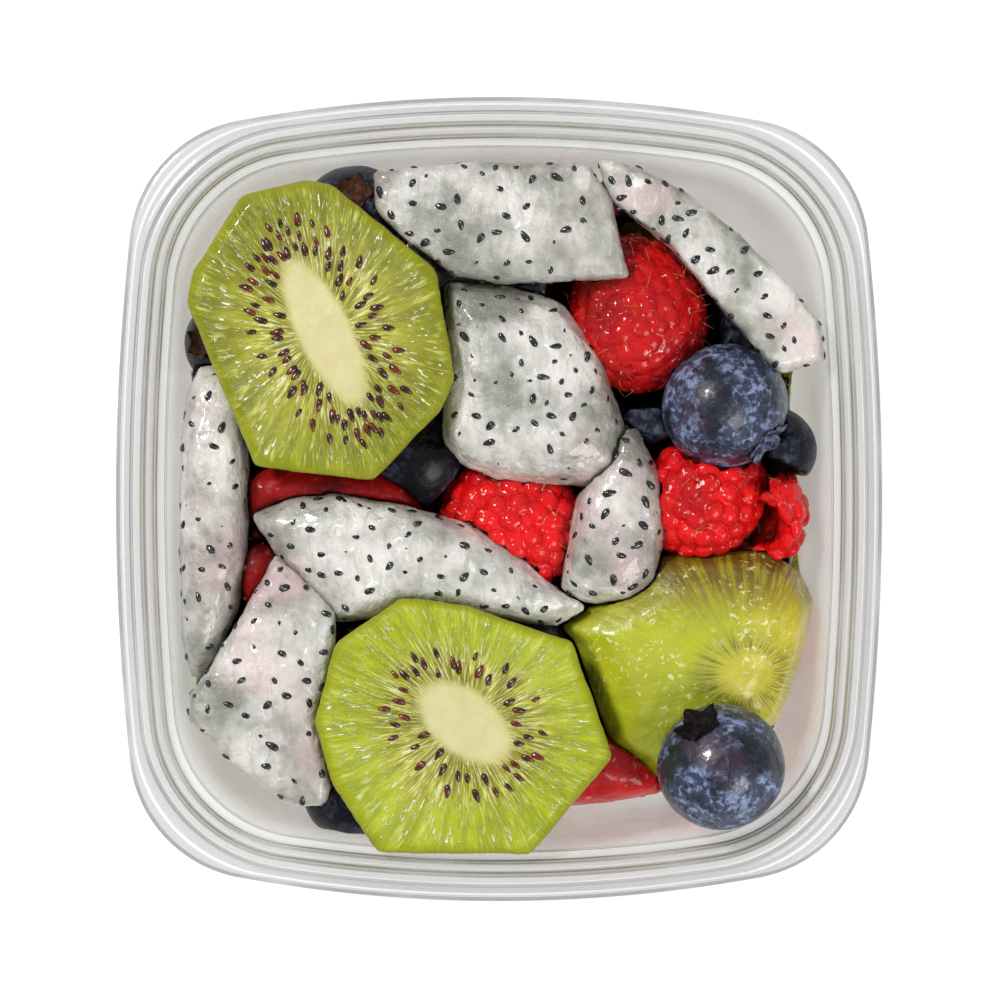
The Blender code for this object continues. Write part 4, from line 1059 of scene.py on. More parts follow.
def makeBlueberries():
    skin = blueberrySkin("blueberrySkin")
    shaded = blueberrySkin("blueberryInShade", blueberry["shade"])
    crownPaint = crownMaterial("blueberryCrown", blueberry["crown"], blueberry["crownEdge"])
    flapPaint = crownMaterial("blueberryFlap", blueberry["blue"], blueberry["flap"])
    dryPaint = crownMaterial("blueberryDryCrown", blueberry["dryBrown"], blueberry["dryEdge"])
    draw = random.Random(21)
    crowns, flaps, dry = [], [], []
    for nodeName, berry in blueberries.items():
        obj = skinOf(nodeName, blueberry["voxel"], blueberry["smoothing"], blueberry["finer"])
        roundOut(obj, berry)
        local = carried(pointsOf(obj.data), berryMatrix(berry).inverted())
        if "bare" not in berry:
            # sunk under the crown, with a rounded lip
            near = np.hypot(local[:, 0], local[:, 1]) / crownRadius(berry)
            sunk = np.where(local[:, 2] > 0, np.clip(1.0 - near, 0.0, 0.3) / 0.3, 0.0)
            local[:, 2] -= sunk * blueberry["dent"] * mm
        setPoints(obj.data, carried(local, berryMatrix(berry)))
        roughen(obj, *blueberry["relief"], berry["at"][0])
        points = insideWall(pointsOf(obj.data))
        points[:, 2] = np.minimum(points[:, 2], blueberry["highest"] * mm)
        setPoints(obj.data, points)
        dress(obj, shaded if nodeName in blueberry["inShade"] else skin)
        finishPiece(obj, "blueberry_skin", nodeName)
        paint, kept = (dryPaint, dry) if "dry" in berry else (crownPaint, crowns)
        if nodeName == "blueberry_right":
            paint, kept = flapPaint, flaps
        if "bare" not in berry:
            kept.append(newObject("crown", crownMesh(berry, draw), paint))
    finishPiece(joinMeshes("blueberry_crowns", crowns, crownPaint), "blueberry_skin")
    finishPiece(joinMeshes("blueberry_right_crown", flaps, flapPaint), "blueberry_skin")
    finishPiece(joinMeshes("blueberry_dry_crowns", dry, dryPaint), "blueberry_skin")
    report("blueberries done")
    return blueberrySkin("blueberryInHeap", blueberry["heapShade"])


raspberry = {
    "red": srgb(218, 10, 16), "deep": srgb(176, 6, 14), "light": srgb(236, 60, 44),
    "hair": srgb(214, 148, 62), "paintedGlint": srgb(250, 214, 206), "voxel": 0.7, "smoothing": 9, "finer": 1,
    "spacing": 2.9, "heapRise": 1.2, "relief": (0.0001, 300.0, 0.00002, 1500.0),
}

raspberries = {
    "raspberry_far": {"at": (21.0, 28.4, 40.0), "half": (11.0, 10.2, 13.0), "turn": (78, 0, 12),
        "draw": 4, "hairs": 400000.0, "rise": 0.5, "spacing": 2.4, "light": 0.72},
    "raspberry_middle": {"at": (1.8, -3.6, 38.2), "half": (10.6, 9.6, 11.8), "turn": (84, 0, 62),
        "draw": 5, "hairs": 40000.0, "rise": 0.95},
    "raspberry_right": {"at": (31.4, 0.6, 39.4), "half": (9.6, 9.0, 11.0), "turn": (70, 0, -50),
        "draw": 6, "hairs": 40000.0, "rise": 1.0},
    "raspberry_open": {"at": (41.2, -2.4, 40.0), "half": (6.2, 7.2, 8.6), "turn": (24, -16, 0),
        "draw": 7, "hairs": 30000.0, "rise": 1.1},
}


def raspberryFlesh(name="raspberryFlesh", light=1.0):
    lit = dimmed(raspberry, light)
    material, tree, shader = newMaterial(name, 0.42, Coat_Weight=0.4, Coat_Roughness=0.05,
                                         Specular_IOR_Level=0.12)
    spot = objectSpot(tree)
    cloud = noise(tree, spot, 120.0, 3.0)
    fine = noise(tree, spot, 900.0, 3.0)
    base = blendColours(tree, spread(tree, cloud, 0.34, 0.58), lit["deep"], lit["red"])
    pale = blendColours(tree, spread(tree, fine, 0.55, 0.75, 0.0, 0.5), base, lit["light"])
    # painted highlight: pale wet glints painted into the colour
    sparks = noise(tree, spot, 640.0, 3.0, 0.6, 0.8)
    paintedGlint = times(tree, spread(tree, sparks, 0.65, 0.71), 0.75)
    wire(tree, shader, Base_Color=blendColours(tree, paintedGlint, pale, raspberry["paintedGlint"]))
    wire(tree, shader, Roughness=spread(tree, fine, 0.3, 0.7, 0.45, 0.65))
    bumpFrom(tree, shader, plus(tree, fine, times(tree, sparks, 0.8)), 0.0006, 0.8)
    return material


def hairShape():
    # a fine bent hair that leans over
    builder = bmesh.new()
    rings = []
    for step in range(4):
        share = step / 3
        radius = 0.085 * (1 - 0.6 * share)
        middle = Vector((1.9 * share ** 1.3, 0.0, 1.5 * share))
        turns = (0.0, math.tau / 3, 2 * math.tau / 3)
        ways = [Vector((math.cos(turn), math.sin(turn), 0.0)) for turn in turns]
        rings.append([builder.verts.new((middle + radius * way) * mm) for way in ways])
    bridge(builder, rings)
    builder.faces.new(list(reversed(rings[0])))
    builder.faces.new(rings[-1])
    obj = newObject("hair_shape", meshOf(builder, "hair_shape"))
    obj.hide_render = True
    obj.hide_viewport = True
    return obj


def makeRaspberries():
    flesh = raspberryFlesh()
    # painted shade: the far berry takes a darkened copy of the flesh
    darker = raspberryFlesh("raspberryFarFlesh", raspberries["raspberry_far"]["light"])
    hairPaint, tree, shader = newMaterial("raspberryHair", 0.5)
    tint = noise(tree, objectSpot(tree), 300.0)
    wire(tree, shader, Base_Color=blendColours(tree, tint, raspberry["hair"], raspberry["deep"]))
    hair = hairShape()
    hairs = []
    for nodeName, berry in raspberries.items():
        obj = skinOf(nodeName, raspberry["voxel"], raspberry["smoothing"], raspberry["finer"])
        if nodeName != "raspberry_open":
            roundOut(obj, berry, 0.95, 0.1)
        runTree(obj, trees["drupelets"], {"Spacing": berry.get("spacing", raspberry["spacing"]) * mm,
                                          "Rise": berry["rise"] * mm, "Draw": berry["draw"]})
        roughen(obj, *raspberry["relief"], berry["draw"])
        setPoints(obj.data, insideWall(pointsOf(obj.data)))
        dress(obj, darker if "light" in berry else flesh)
        finishPiece(obj, "raspberry_flesh", nodeName)
        hairs.append(scatterSeeds(nodeName + "_hairs", obj, hair, hairPaint, {
            "Distance": 2.0 * mm, "Density": berry["hairs"], "Sink": 0.0, "Smallest": 0.5, "Largest": 1.1,
            "Lowest facing": -0.3, "Patch scale": 100.0, "Patch share": 0.3, "Draw": berry["draw"]}))
    finishPiece(joinMeshes("raspberry_hairs", hairs, hairPaint), "raspberry_flesh")
    report("raspberries done")
    return flesh


strawberry = {
    # red, deep red and pale: a darker, duller set for whole skin, with painted shade, and a brighter set for
    # cut flesh, with painted light
    "skin": (srgb(156, 16, 18), srgb(90, 8, 12), srgb(180, 70, 46)),
    "cut": (srgb(206, 22, 24), srgb(160, 16, 20), srgb(240, 150, 132)),
    "achene": srgb(190, 140, 62), "acheneDark": srgb(140, 74, 30), "brighter": ("strawberry_near",),
    "voxel": 0.7, "smoothing": 10, "finer": 1, "swell": 0.1, "relief": (0.0003, 200.0, 0.00008, 900.0),
    "gloss": 0.08, "cutGloss": 0.35, "acheneSize": (1.4, 0.8, 0.6), "acheneTaper": 0.4,
}


def strawberryFlesh(name, red, deep, pale, gloss):
    material, tree, shader = newMaterial(name, 0.45, Coat_Weight=gloss, Coat_Roughness=0.12,
                                         Specular_IOR_Level=0.15)
    spot = objectSpot(tree)
    cloud = noise(tree, spot, 90.0, 3.0)
    fine = noise(tree, spot, 700.0, 3.0)
    base = blendColours(tree, spread(tree, cloud, 0.35, 0.62), deep, red)
    wire(tree, shader, Base_Color=blendColours(tree, spread(tree, fine, 0.6, 0.75, 0.0, 0.5), base, pale))
    wire(tree, shader, Roughness=spread(tree, fine, 0.3, 0.7, 0.34, 0.6))
    bumpFrom(tree, shader, fine, 0.0005, 0.7)
    return material


def acheneScatter(draw, lowest):
    return {"Distance": 2.9 * mm, "Density": 90000.0, "Sink": 0.3 * mm, "Smallest": 0.8, "Largest": 1.05,
            "Lowest facing": lowest, "Patch scale": 60.0, "Patch share": 0.2, "Draw": draw}


def makeStrawberries():
    flesh = strawberryFlesh("strawberrySkin", *strawberry["skin"], strawberry["gloss"])
    cut = strawberryFlesh("strawberryCut", *strawberry["cut"], strawberry["cutGloss"])
    achene = seedShape("achene_shape", *strawberry["acheneSize"], strawberry["acheneTaper"])
    shine = seedGloss("strawberryAchene", strawberry["achene"], strawberry["acheneDark"], 500.0, 0.35)
    scattered = []
    for turn, nodeName in enumerate(("strawberry_left", "strawberry_edge", "strawberry_near")):
        obj = skinOf(nodeName, strawberry["voxel"], strawberry["smoothing"], strawberry["finer"],
                     strawberry["swell"])
        roughen(obj, *strawberry["relief"], turn)
        setPoints(obj.data, insideWall(pointsOf(obj.data)))
        # the near piece takes the brighter copy with painted light, the others the darker copy with painted
        # shade
        dress(obj, cut if nodeName in strawberry["brighter"] else flesh)
        finishPiece(obj, "strawberry_flesh", nodeName)
        scatter = acheneScatter(30 + turn, -0.3)
        scattered.append(scatterSeeds(nodeName + "_achenes", obj, achene, shine, scatter))
    finishPiece(joinMeshes("strawberry_achenes", scattered, shine), "strawberry_flesh")
    report("strawberries done")
    return flesh, achene, shine


# the heap under the pieces on top: what shows through the wall, over a dark, juicy core whose dark red is
# partly painted shade in the gaps

heap = {
    "rows": (10.5, 24.5, 35.5), "counts": (12, 13, 13), "seed": 7, "ceiling": 41.0,
    "coreTop": 38.0, "dome": 1.5, "coreInset": 2.8, "sizes": (0.95, 1.15), "skip": 0.3,
    "fillRows": (4.5, 17.5, 30.0), "fillCounts": (11, 14, 14), "fillSeed": 23, "fillDepth": 1.1,
    # gaps in mm: least from the wall, how much it varies, between pieces, and round the pieces on top
    "wallGap": 0.35, "gapRange": 0.9, "apart": 0.25, "clear": 0.6,
    "wideClear": {"blueberry_right": 3.0, "dragon_fruit_corner": 2.6},
    "leastArea": 60.0,  # in mm2: what the cuts leave of a piece goes if it is smaller
    "kinds": ("blueberry", "dragon_fruit", "strawberry", "kiwi", "raspberry", "dragon_fruit", "kiwi"),
    "voxel": 0.7, "berryVoxel": 0.5, "smoothing": 3,
    # the core's dark reds are partly the juice's own colour and partly painted shade where the core shows
    # between pieces
    "juice": srgb(140, 26, 22), "darkJuiceAndShade": srgb(70, 12, 14), "pulp": srgb(176, 60, 44),
    "shade": srgb(22, 9, 10), "relief": (0.00025, 180.0, 0.00006, 1000.0),
    "coreVoxel": 1.2, "coreSmoothing": 4, "coreRelief": (0.0011, 130.0, 0.0003, 500.0),
    "outline": (
        (46.2, -1.0), (46.0, 6.0), (44.6, 14.0), (45.0, 21.0), (44.6, 25.6), (42.0, 31.0), (35.0, 38.6),
        (29.5, 42.2), (19.5, 48.4), (0.0, 49.4), (-18.0, 48.4), (-29.0, 46.8), (-37.8, 44.4), (-45.0, 34.4),
        (-46.6, 24.0), (-47.4, 14.0), (-48.0, -1.0), (-47.6, -20.0), (-46.6, -27.0), (-46.2, -32.2),
        (-39.4, -38.8), (-31.0, -45.2), (-25.4, -46.4), (-18.0, -52.4), (4.6, -52.6), (9.0, -46.6),
        (15.0, -45.8), (24.0, -44.4), (30.0, -48.4), (37.0, -47.8), (42.0, -40.6), (42.2, -34.0),
        (46.0, -23.6), (47.2, -15.0),
    ),
}

roundKinds = ("blueberry", "raspberry", "strawberry")
heapPieces = {
    # half sizes of a berry, or the sizes of a cut piece, and how deep it sinks in from the wall, in mm
    "blueberry": {"half": (8.6, 8.6, 8.0), "sunk": 7.4},
    "raspberry": {"half": (9.2, 9.2, 9.0), "sunk": 7.6},
    "strawberry": {"half": (9.0, 11.5, 8.0), "sunk": 6.4, "taper": 0.18},
    "kiwi": {"radius": 13.5, "farRadius": 13.0, "thickness": 9.0, "sunk": 3.6,
             "half": (4.4, 3.4), "turn": 20.0, "seeds": 44, "rings": (2.0, 5.0), "core": (0.0, 0.0)},
    "dragon_fruit": {"sides": (17.0, 14.0, 12.0), "bevel": 2.2, "sunk": 5.4},
}


def outlineReach(direction):
    # how far the heap's outline lies from the tub's middle
    for start, end in zip(heap["outline"], heap["outline"][1:] + heap["outline"][:1]):
        start = Vector(start)
        edge = Vector(end) - start
        across = direction.cross(edge)
        if across == 0.0:
            continue
        reach = start.cross(edge) / across
        share = start.cross(direction) / across
        if reach > 0.0 and 0.0 <= share <= 1.0:
            return reach
    return 0.0


def heapSlots(rows, counts, seed, depth):
    # kind, place and size of each piece that lies against the wall, the first rows drawn as for the solid
    draw = random.Random(seed)
    turn = 0
    slots = []
    for row, count in enumerate(counts):
        z = rows[row]
        ring = tubRing(wallInset(z, tub["gap"]), 0.0, z, 2, 5)
        for step in range(count):
            place = (step + 0.5 * (row % 2)) / count * len(ring)
            first = ring[int(place) % len(ring)]
            second = ring[(int(place) + 1) % len(ring)]
            flat = first.lerp(second, place % 1.0).to_2d()
            pulled = flat.normalized() * min(flat.length, outlineReach(flat.normalized()))
            along = (second - first).normalized()
            slots.append({"kind": heap["kinds"][turn % len(heap["kinds"])],
                          "point": Vector((pulled.x, pulled.y, z)),
                          "outward": Vector((along.y, -along.x, 0.0)),
                          "spin": draw.uniform(0.0, math.tau), "size": draw.uniform(*heap["sizes"]),
                          "depth": depth})
            turn += 2 if draw.random() < heap["skip"] else 1
    return slots


def heapShape(kind, size):
    # the piece about its own middle, +Z towards the wall
    piece = heapPieces[kind]
    shape = bmesh.new()
    if kind == "kiwi":
        bmesh.ops.create_cone(shape, cap_ends=True, segments=48, radius1=piece["radius"] * size,
                              radius2=piece["farRadius"] * size, depth=piece["thickness"])
        rims = [edge for edge in shape.edges if abs(edge.verts[0].co.z - edge.verts[1].co.z) < 0.1]
        bmesh.ops.bevel(shape, geom=rims, offset=0.8, segments=2, affect="EDGES", profile=0.5)
        return shape
    if kind == "dragon_fruit":
        long, wide, thick = piece["sides"]
        bmesh.ops.create_cube(shape, size=1.0)
        bmesh.ops.scale(shape, vec=(long * size, wide * size, thick), verts=shape.verts)
        bmesh.ops.bevel(shape, geom=shape.edges[:], offset=piece["bevel"], segments=2, affect="EDGES",
                        profile=0.5)
        return shape
    bmesh.ops.create_uvsphere(shape, u_segments=48, v_segments=28, radius=1.0)
    for vert in shape.verts:
        share = size * (1.0 - piece.get("taper", 0.0) * vert.co.y)
        vert.co = Vector([vert.co[axis] * piece["half"][axis] * share for axis in range(3)])
    return shape


def heapRoom():
    gap = tub["gap"]
    wall, rounding = tub["wall"], tub["baseRounding"]
    levels = [heap["ceiling"], wall + rounding, wall + rounding * 0.5, wall + rounding * 0.25]
    rings = [tubRing(wallInset(z, gap), 0.4 - gap, z, 6, 8) for z in levels]
    rings.append(tubRing(wallInset(wall, gap) + 0.6, 0.0, wall + gap, 6, 8))
    room = loft(rings, Vector((0.0, 0.0, wall + gap)))
    lid = room.verts.new((0.0, 0.0, heap["ceiling"] * mm))
    rim = [edge for edge in room.edges if edge.is_boundary]
    for edge in rim:
        room.faces.new((*edge.verts, lid))
    bmesh.ops.recalc_face_normals(room, faces=room.faces)
    return newObject("heap_room", meshOf(room, "heap_room"))


def heapPrism():
    # the heap's outline from above, as an upright block
    builder = bmesh.new()
    low, high = -1.0, heap["ceiling"] + 1.0
    face = builder.faces.new([builder.verts.new(Vector((x, y, low)) * mm) for x, y in heap["outline"]])
    raised = bmesh.ops.extrude_face_region(builder, geom=[face])["geom"]
    bmesh.ops.translate(builder, vec=(0.0, 0.0, (high - low) * mm),
                        verts=[item for item in raised if isinstance(item, bmesh.types.BMVert)])
    bmesh.ops.recalc_face_normals(builder, faces=builder.faces)
    return newObject("heap_prism", meshOf(builder, "heap_prism"))


def grown(builder, clear, name):
    # the same form drawn out along its normals
    builder.normal_update()
    moves = [vert.normal * min(vert.calc_shell_factor(), 2.0) * clear for vert in builder.verts]
    for vert, move in zip(builder.verts, moves):
        vert.co += move
    return newObject(name, meshOf(builder, name))


def clearOf(nodeName):
    # the solid of a piece on top, drawn out a little, to cut the heap clear of it;
    # a raspberry's is its whole ball
    if nodeName in raspberries:
        berry = raspberries[nodeName]
        half = [(size * 1.06 + 0.85 + heap["clear"]) * mm for size in berry["half"]]
        ball = bmesh.new()
        bmesh.ops.create_uvsphere(ball, u_segments=24, v_segments=14, radius=1.0)
        bmesh.ops.scale(ball, vec=half, verts=ball.verts)
        bmesh.ops.transform(ball, matrix=berryMatrix(berry), verts=ball.verts)
        return newObject("clear_of_" + nodeName, meshOf(ball, "clear_of_" + nodeName))
    builder = bmesh.new()
    builder.from_mesh(frame["nodes"][nodeName].data)
    bmesh.ops.remove_doubles(builder, verts=builder.verts, dist=1e-7)
    bmesh.ops.recalc_face_normals(builder, faces=builder.faces)
    return grown(builder, heap["wideClear"].get(nodeName, heap["clear"]) * mm, "clear_of_" + nodeName)


def boxOf(mesh):
    points = pointsOf(mesh)
    return points.min(axis=0), points.max(axis=0)


def boxesMeet(first, second):
    return bool(np.all(first[0] < second[1]) and np.all(second[0] < first[1]))


def cutAway(obj, rooms, cutters):
    for room in rooms:
        inside = obj.modifiers.new("inside", "BOOLEAN")
        inside.operation = "INTERSECT"
        inside.solver = "MANIFOLD"
        inside.object = room
    ownBox = boxOf(obj.data)
    for cutter, box in cutters:
        if boxesMeet(ownBox, box):
            clear = obj.modifiers.new("clear", "BOOLEAN")
            clear.operation = "DIFFERENCE"
            clear.solver = "MANIFOLD"
            clear.object = cutter
    return bake(obj)


def keepLargest(mesh):
    builder = bmesh.new()
    builder.from_mesh(mesh)
    left = set(builder.faces)
    islands = []
    while left:
        island = []
        front = [left.pop()]
        while front:
            face = front.pop()
            island.append(face)
            for edge in face.edges:
                for other in edge.link_faces:
                    if other in left:
                        left.remove(other)
                        front.append(other)
        islands.append(island)
    islands.sort(key=lambda island: sum(face.calc_area() for face in island), reverse=True)
    for scrap in islands[1:]:
        bmesh.ops.delete(builder, geom=scrap, context="FACES")
    area = sum(face.calc_area() for face in builder.faces)
    builder.to_mesh(mesh)
    builder.free()
    return area


def insideWall(points, clearance=0.15):
    # points that a soft surface pushed into the wall are drawn back in; sizes in mm
    away = points / mm
    z = np.clip(away[:, 2], tub["wall"], tub["flange"] - tub["ledge"])
    inset = wallInset(z, clearance)
    x, y = np.abs(away[:, 0]), np.abs(away[:, 1])
    sideX = tub["width"] / 2 - tub["sideBow"]
    endY = tub["length"] / 2 - tub["endBow"]
    fromSide = np.hypot(x - sideX, y)
    over = np.maximum(fromSide - (tub["sideBow"] - inset), 0.0)
    x = x - (x - sideX) / fromSide * over
    y = y - y / fromSide * over
    fromEnd = np.hypot(x, y - endY)
    over = np.maximum(fromEnd - (tub["endBow"] - inset), 0.0)
    x = x - x / fromEnd * over
    y = y - (y - endY) / fromEnd * over
    cornerX, cornerY = filletCentre(tub["sideBow"] - inset, tub["endBow"] - inset, tub["corner"])
    fromCorner = np.hypot(x - cornerX, y - cornerY)
    inCorner = (x > cornerX) & (y > cornerY)
    over = np.where(inCorner, np.maximum(fromCorner - tub["corner"], 0.0), 0.0)
    x = x - (x - cornerX) / np.maximum(fromCorner, 1e-6) * over
    y = y - (y - cornerY) / np.maximum(fromCorner, 1e-6) * over
    under = away[:, 2] < tub["flange"]
    away[:, 0] = np.where(under, np.copysign(x, away[:, 0]), away[:, 0])
    away[:, 1] = np.where(under, np.copysign(y, away[:, 1]), away[:, 1])
    away[:, 2] = np.maximum(away[:, 2], tub["wall"] + clearance)
    return away * mm


def makeHeap(kiwiParts, dragonParts, berryPaint, raspberryPaint, strawberryParts):
    rooms = [heapRoom(), heapPrism()]
    cutters = []
    for nodeName in frame["nodes"]:
        if nodeName not in ("tub", "fruit_heap"):
            cutter = clearOf(nodeName)
            cutters.append((cutter, boxOf(cutter.data)))
    helpers = rooms + [cutter[0] for cutter in cutters]
    found = {kind: [] for kind in heap["kinds"]}
    extras = {"kiwi": [], "dragon_fruit": [], "strawberry": [], "blueberry": []}
    taken = []
    slots = heapSlots(heap["rows"], heap["counts"], heap["seed"], 0.0)
    slots += heapSlots(heap["fillRows"], heap["fillCounts"], heap["fillSeed"], heap["fillDepth"])
    for number, slot in enumerate(slots):
        kind = slot["kind"]
        shape = heapShape(kind, slot["size"])
        depth = heapPieces[kind]["sunk"] * (slot["size"] if kind in roundKinds else 1.0)
        toward = slot["outward"].to_track_quat("Z", "Y").to_matrix().to_4x4()
        middle = (slot["point"] - slot["outward"] * depth) * mm
        place = Matrix.Translation(middle) @ toward @ Matrix.Rotation(slot["spin"], 4, "Z")
        bmesh.ops.scale(shape, vec=(mm, mm, mm), verts=shape.verts)
        bmesh.ops.transform(shape, matrix=place, verts=shape.verts)
        bmesh.ops.recalc_face_normals(shape, faces=shape.faces)
        whole = grown(shape.copy(), heap["apart"] * mm, "whole_part")
        helpers.append(whole)
        obj = newObject("heap_part", meshOf(shape, "heap_part"))
        cutAway(obj, rooms, cutters + taken)
        area = keepLargest(obj.data) if obj.data.polygons else 0.0
        if area < heap["leastArea"] * mm * mm:
            drop(obj)
            continue
        taken.append((whole, boxOf(whole.data)))
        evenSkin(obj, heap["berryVoxel"] if kind == "raspberry" else heap["voxel"], heap["smoothing"], False)
        bake(obj)
        if kind == "raspberry":
            runTree(obj, trees["drupelets"], {"Spacing": raspberry["spacing"] * mm,
                                              "Rise": raspberry["heapRise"] * mm, "Draw": number})
        if kind == "kiwi":
            local = carried(pointsOf(obj.data), place.inverted())
            sizes = heapPieces["kiwi"]
            storeSlicePattern(obj.data, local[:, :2] / mm, sizes["half"], sizes["turn"],
                              sideDepth(obj.data, slot["outward"]))
        amount, scale, fineAmount, fineScale = heap["relief"]
        roughen(obj, amount, scale, 0.0 if kind == "blueberry" else fineAmount, fineScale, number)
        # each lies at its own depth behind the wall, so that no two share a surface
        share = number * (math.sqrt(5.0) - 1.0) / 2.0 % 1.0
        gap = heap["wallGap"] + slot["depth"] + heap["gapRange"] * share
        setPoints(obj.data, insideWall(pointsOf(obj.data), gap))
        found[kind].append(obj)
        if kind == "dragon_fruit":
            scatter = dragonScatter(heapSeeds, number, -1.0)
            extras[kind].append(scatterSeeds("heap_seeds", obj, *dragonParts[1:], scatter))
        if kind == "strawberry":
            scatter = acheneScatter(number, -1.0)
            extras[kind].append(scatterSeeds("heap_achenes", obj, *strawberryParts[1:], scatter))
        if kind == "kiwi":
            flat = newObject("flat", obj.data.copy())
            flat.data.transform(place.inverted())
            ring = kiwiSeedRing("heap_ring", {**heapPieces["kiwi"], "draw": number}, flat, *kiwiParts[1:])
            ring.data.transform(place)
            drop(flat)
            extras[kind].append(ring)
    paints = {"kiwi": (kiwiParts[0], "kiwi_flesh"), "dragon_fruit": (dragonParts[0], "dragon_fruit_flesh"),
              "blueberry": (berryPaint, "blueberry_skin"), "raspberry": (raspberryPaint, "raspberry_flesh"),
              "strawberry": (strawberryParts[0], "strawberry_flesh")}
    for kind, objects in found.items():
        paint, slot = paints[kind]
        for obj in objects:
            dress(obj, paint)
        if objects:
            finishPiece(joinMeshes("heap_" + kind, objects, paint), slot, "fruit_heap")
        if extras.get(kind):
            shine = {"kiwi": kiwiParts, "dragon_fruit": dragonParts, "strawberry": strawberryParts}[kind][2]
            finishPiece(joinMeshes("heap_" + kind + "_seeds", extras[kind], shine), slot)
    makeCore(rooms, cutters)
    for helper in helpers:
        drop(helper)
    report("heap done")


def makeCore(rooms, cutters):
    inset = heap["coreInset"]
    levels = (tub["wall"] + tub["gap"] + 0.2, tub["wall"] + tub["baseRounding"], heap["coreTop"])
    rings = [tubRing(wallInset(z, tub["gap"]) + inset, -inset / 2, z, 6, 6) for z in levels]
    dome = heap["coreTop"] + heap["dome"]
    rings.append(tubRing(wallInset(heap["coreTop"], tub["gap"]) + 4 * inset, -2 * inset, dome, 6, 6))
    skin = loft(rings, Vector((0.0, 0.0, dome + 1.0)))
    foot = skin.verts.new((0.0, 0.0, levels[0] * mm))
    for edge in [edge for edge in skin.edges if edge.is_boundary]:
        skin.faces.new((*edge.verts, foot))
    bmesh.ops.recalc_face_normals(skin, faces=skin.faces)
    paint, tree, shader = newMaterial("juicyCore", 0.25, Coat_Weight=0.3)
    cloud = noise(tree, objectSpot(tree), 120.0, 4.0)
    pulp = noise(tree, objectSpot(tree), 60.0, 2.0)
    # dark reds of the core: partly juice, partly painted shade for the gaps
    dark = blendColours(tree, spread(tree, cloud, 0.35, 0.65), heap["darkJuiceAndShade"], heap["juice"])
    juicy = blendColours(tree, spread(tree, pulp, 0.5, 0.65, 0.0, 0.7), dark, heap["pulp"])
    height = axesOf(tree, objectSpot(tree))[2]
    # painted shade: dark under the pieces on top
    wire(tree, shader, Base_Color=blendColours(tree, spread(tree, height, 0.03, 0.036), juicy, heap["shade"]))
    bumpFrom(tree, shader, cloud, 0.001, 0.8)
    core = newObject("heap_core", meshOf(skin, "heap_core"), paint)
    cutAway(core, rooms, cutters)
    keepLargest(core.data)
    evenSkin(core, heap["coreVoxel"], heap["coreSmoothing"], False)
    bake(core)
    roughen(core, *heap["coreRelief"], 3)
    setPoints(core.data, insideWall(pointsOf(core.data), heap["coreInset"]))
    dress(core, paint)
    finishPiece(core, "mixed_fruit", "fruit_heap")


# floor, light and camera

studio = {
    "pixel": 0.15, "imageSide": 1000, "photoMiddle": (499.0, 499.0), "cameraHeight": 0.70, "sensor": 36.0,
    "floor": srgb(250, 250, 250), "floorGrain": (srgb(168, 168, 168), srgb(172, 172, 172)),
    "world": srgb(255, 255, 255), "worldStrength": 0.42, "glow": 0.74,
    # how often light is followed from surface to surface
    "bounces": {"max_bounces": 5, "diffuse_bounces": 2, "glossy_bounces": 2, "transmission_bounces": 3,
                "transparent_max_bounces": 6},
}


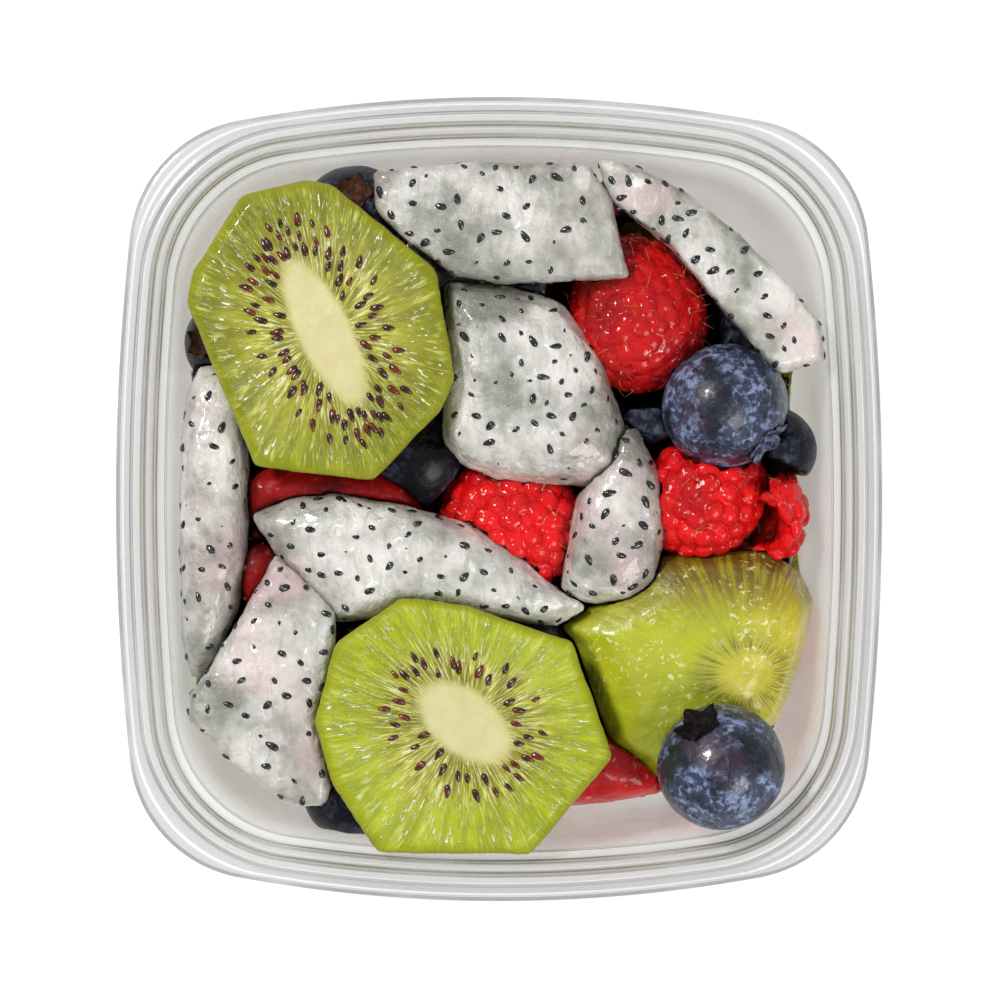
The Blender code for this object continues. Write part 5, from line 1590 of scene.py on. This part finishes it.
def makeStudio():
    floorMesh = bmesh.new()
    bmesh.ops.create_grid(floorMesh, x_segments=1, y_segments=1, size=1.5)
    bmesh.ops.translate(floorMesh, vec=(0.0, 0.0, -0.0002), verts=floorMesh.verts)
    paint, tree, shader = newMaterial("paleFloor", 0.9)
    grain = noise(tree, objectSpot(tree), 30.0, 2.0)
    wire(tree, shader, Base_Color=blendColours(tree, grain, *studio["floorGrain"]))
    shader.inputs["Emission Color"].default_value = studio["floor"]
    shader.inputs["Emission Strength"].default_value = studio["glow"]
    floor = newObject("floor", meshOf(floorMesh, "floor"), paint)

    world = bpy.data.worlds.new("studio")
    bpy.context.scene.world = world
    world.use_nodes = True
    background = world.node_tree.nodes["Background"]
    background.inputs["Color"].default_value = studio["world"]
    background.inputs["Strength"].default_value = studio["worldStrength"]

    lights = {
        "key": {"at": (-0.40, 0.36, 0.64), "size": 0.13, "power": 3.9},
        "fill": {"at": (0.42, -0.42, 0.62), "size": 0.4, "power": 3.8},
        "glint": {"at": (-0.34, 0.20, 0.60), "size": 0.04, "power": 0.5},
    }
    for name, settings in lights.items():
        lamp = bpy.data.lights.new(name, "AREA")
        lamp.shape = "SQUARE"
        lamp.size = settings["size"]
        lamp.energy = settings["power"]
        obj = bpy.data.objects.new(name, lamp)
        obj.location = settings["at"]
        aim = Vector((0.0, 0.0, 0.04)) - Vector(settings["at"])
        obj.rotation_euler = aim.to_track_quat("-Z", "Y").to_euler()
        bpy.context.scene.collection.objects.link(obj)

    # straight down: one pixel is 0.15 mm at the height of the rim
    camera = bpy.data.cameras.new("camera")
    camera.sensor_width = studio["sensor"]
    rim = tub["flange"] * mm
    shown = studio["pixel"] * studio["imageSide"] * mm
    camera.lens = studio["sensor"] * (studio["cameraHeight"] - rim) / shown
    camera.clip_start = 0.01
    obj = bpy.data.objects.new("camera", camera)
    half = studio["imageSide"] / 2
    obj.location = ((half - studio["photoMiddle"][0]) * studio["pixel"] * mm,
                    (studio["photoMiddle"][1] - half) * studio["pixel"] * mm, studio["cameraHeight"])
    bpy.context.scene.collection.objects.link(obj)
    bpy.context.scene.camera = obj
    bpy.context.scene.view_settings.view_transform = "Standard"
    for name, most in studio["bounces"].items():
        setattr(bpy.context.scene.cycles, name, most)
    report("studio done")


makeTub()
report("tub done")
kiwiParts = makeKiwi()
dragonParts = makeDragonFruit()
berryParts = makeBlueberries()
raspberryPaint = makeRaspberries()
strawberryParts = makeStrawberries()
makeHeap(kiwiParts, dragonParts, berryParts, raspberryPaint, strawberryParts)
for helper in [obj for obj in bpy.data.objects if obj.name.endswith("_shape")]:
    drop(helper)
makeStudio()
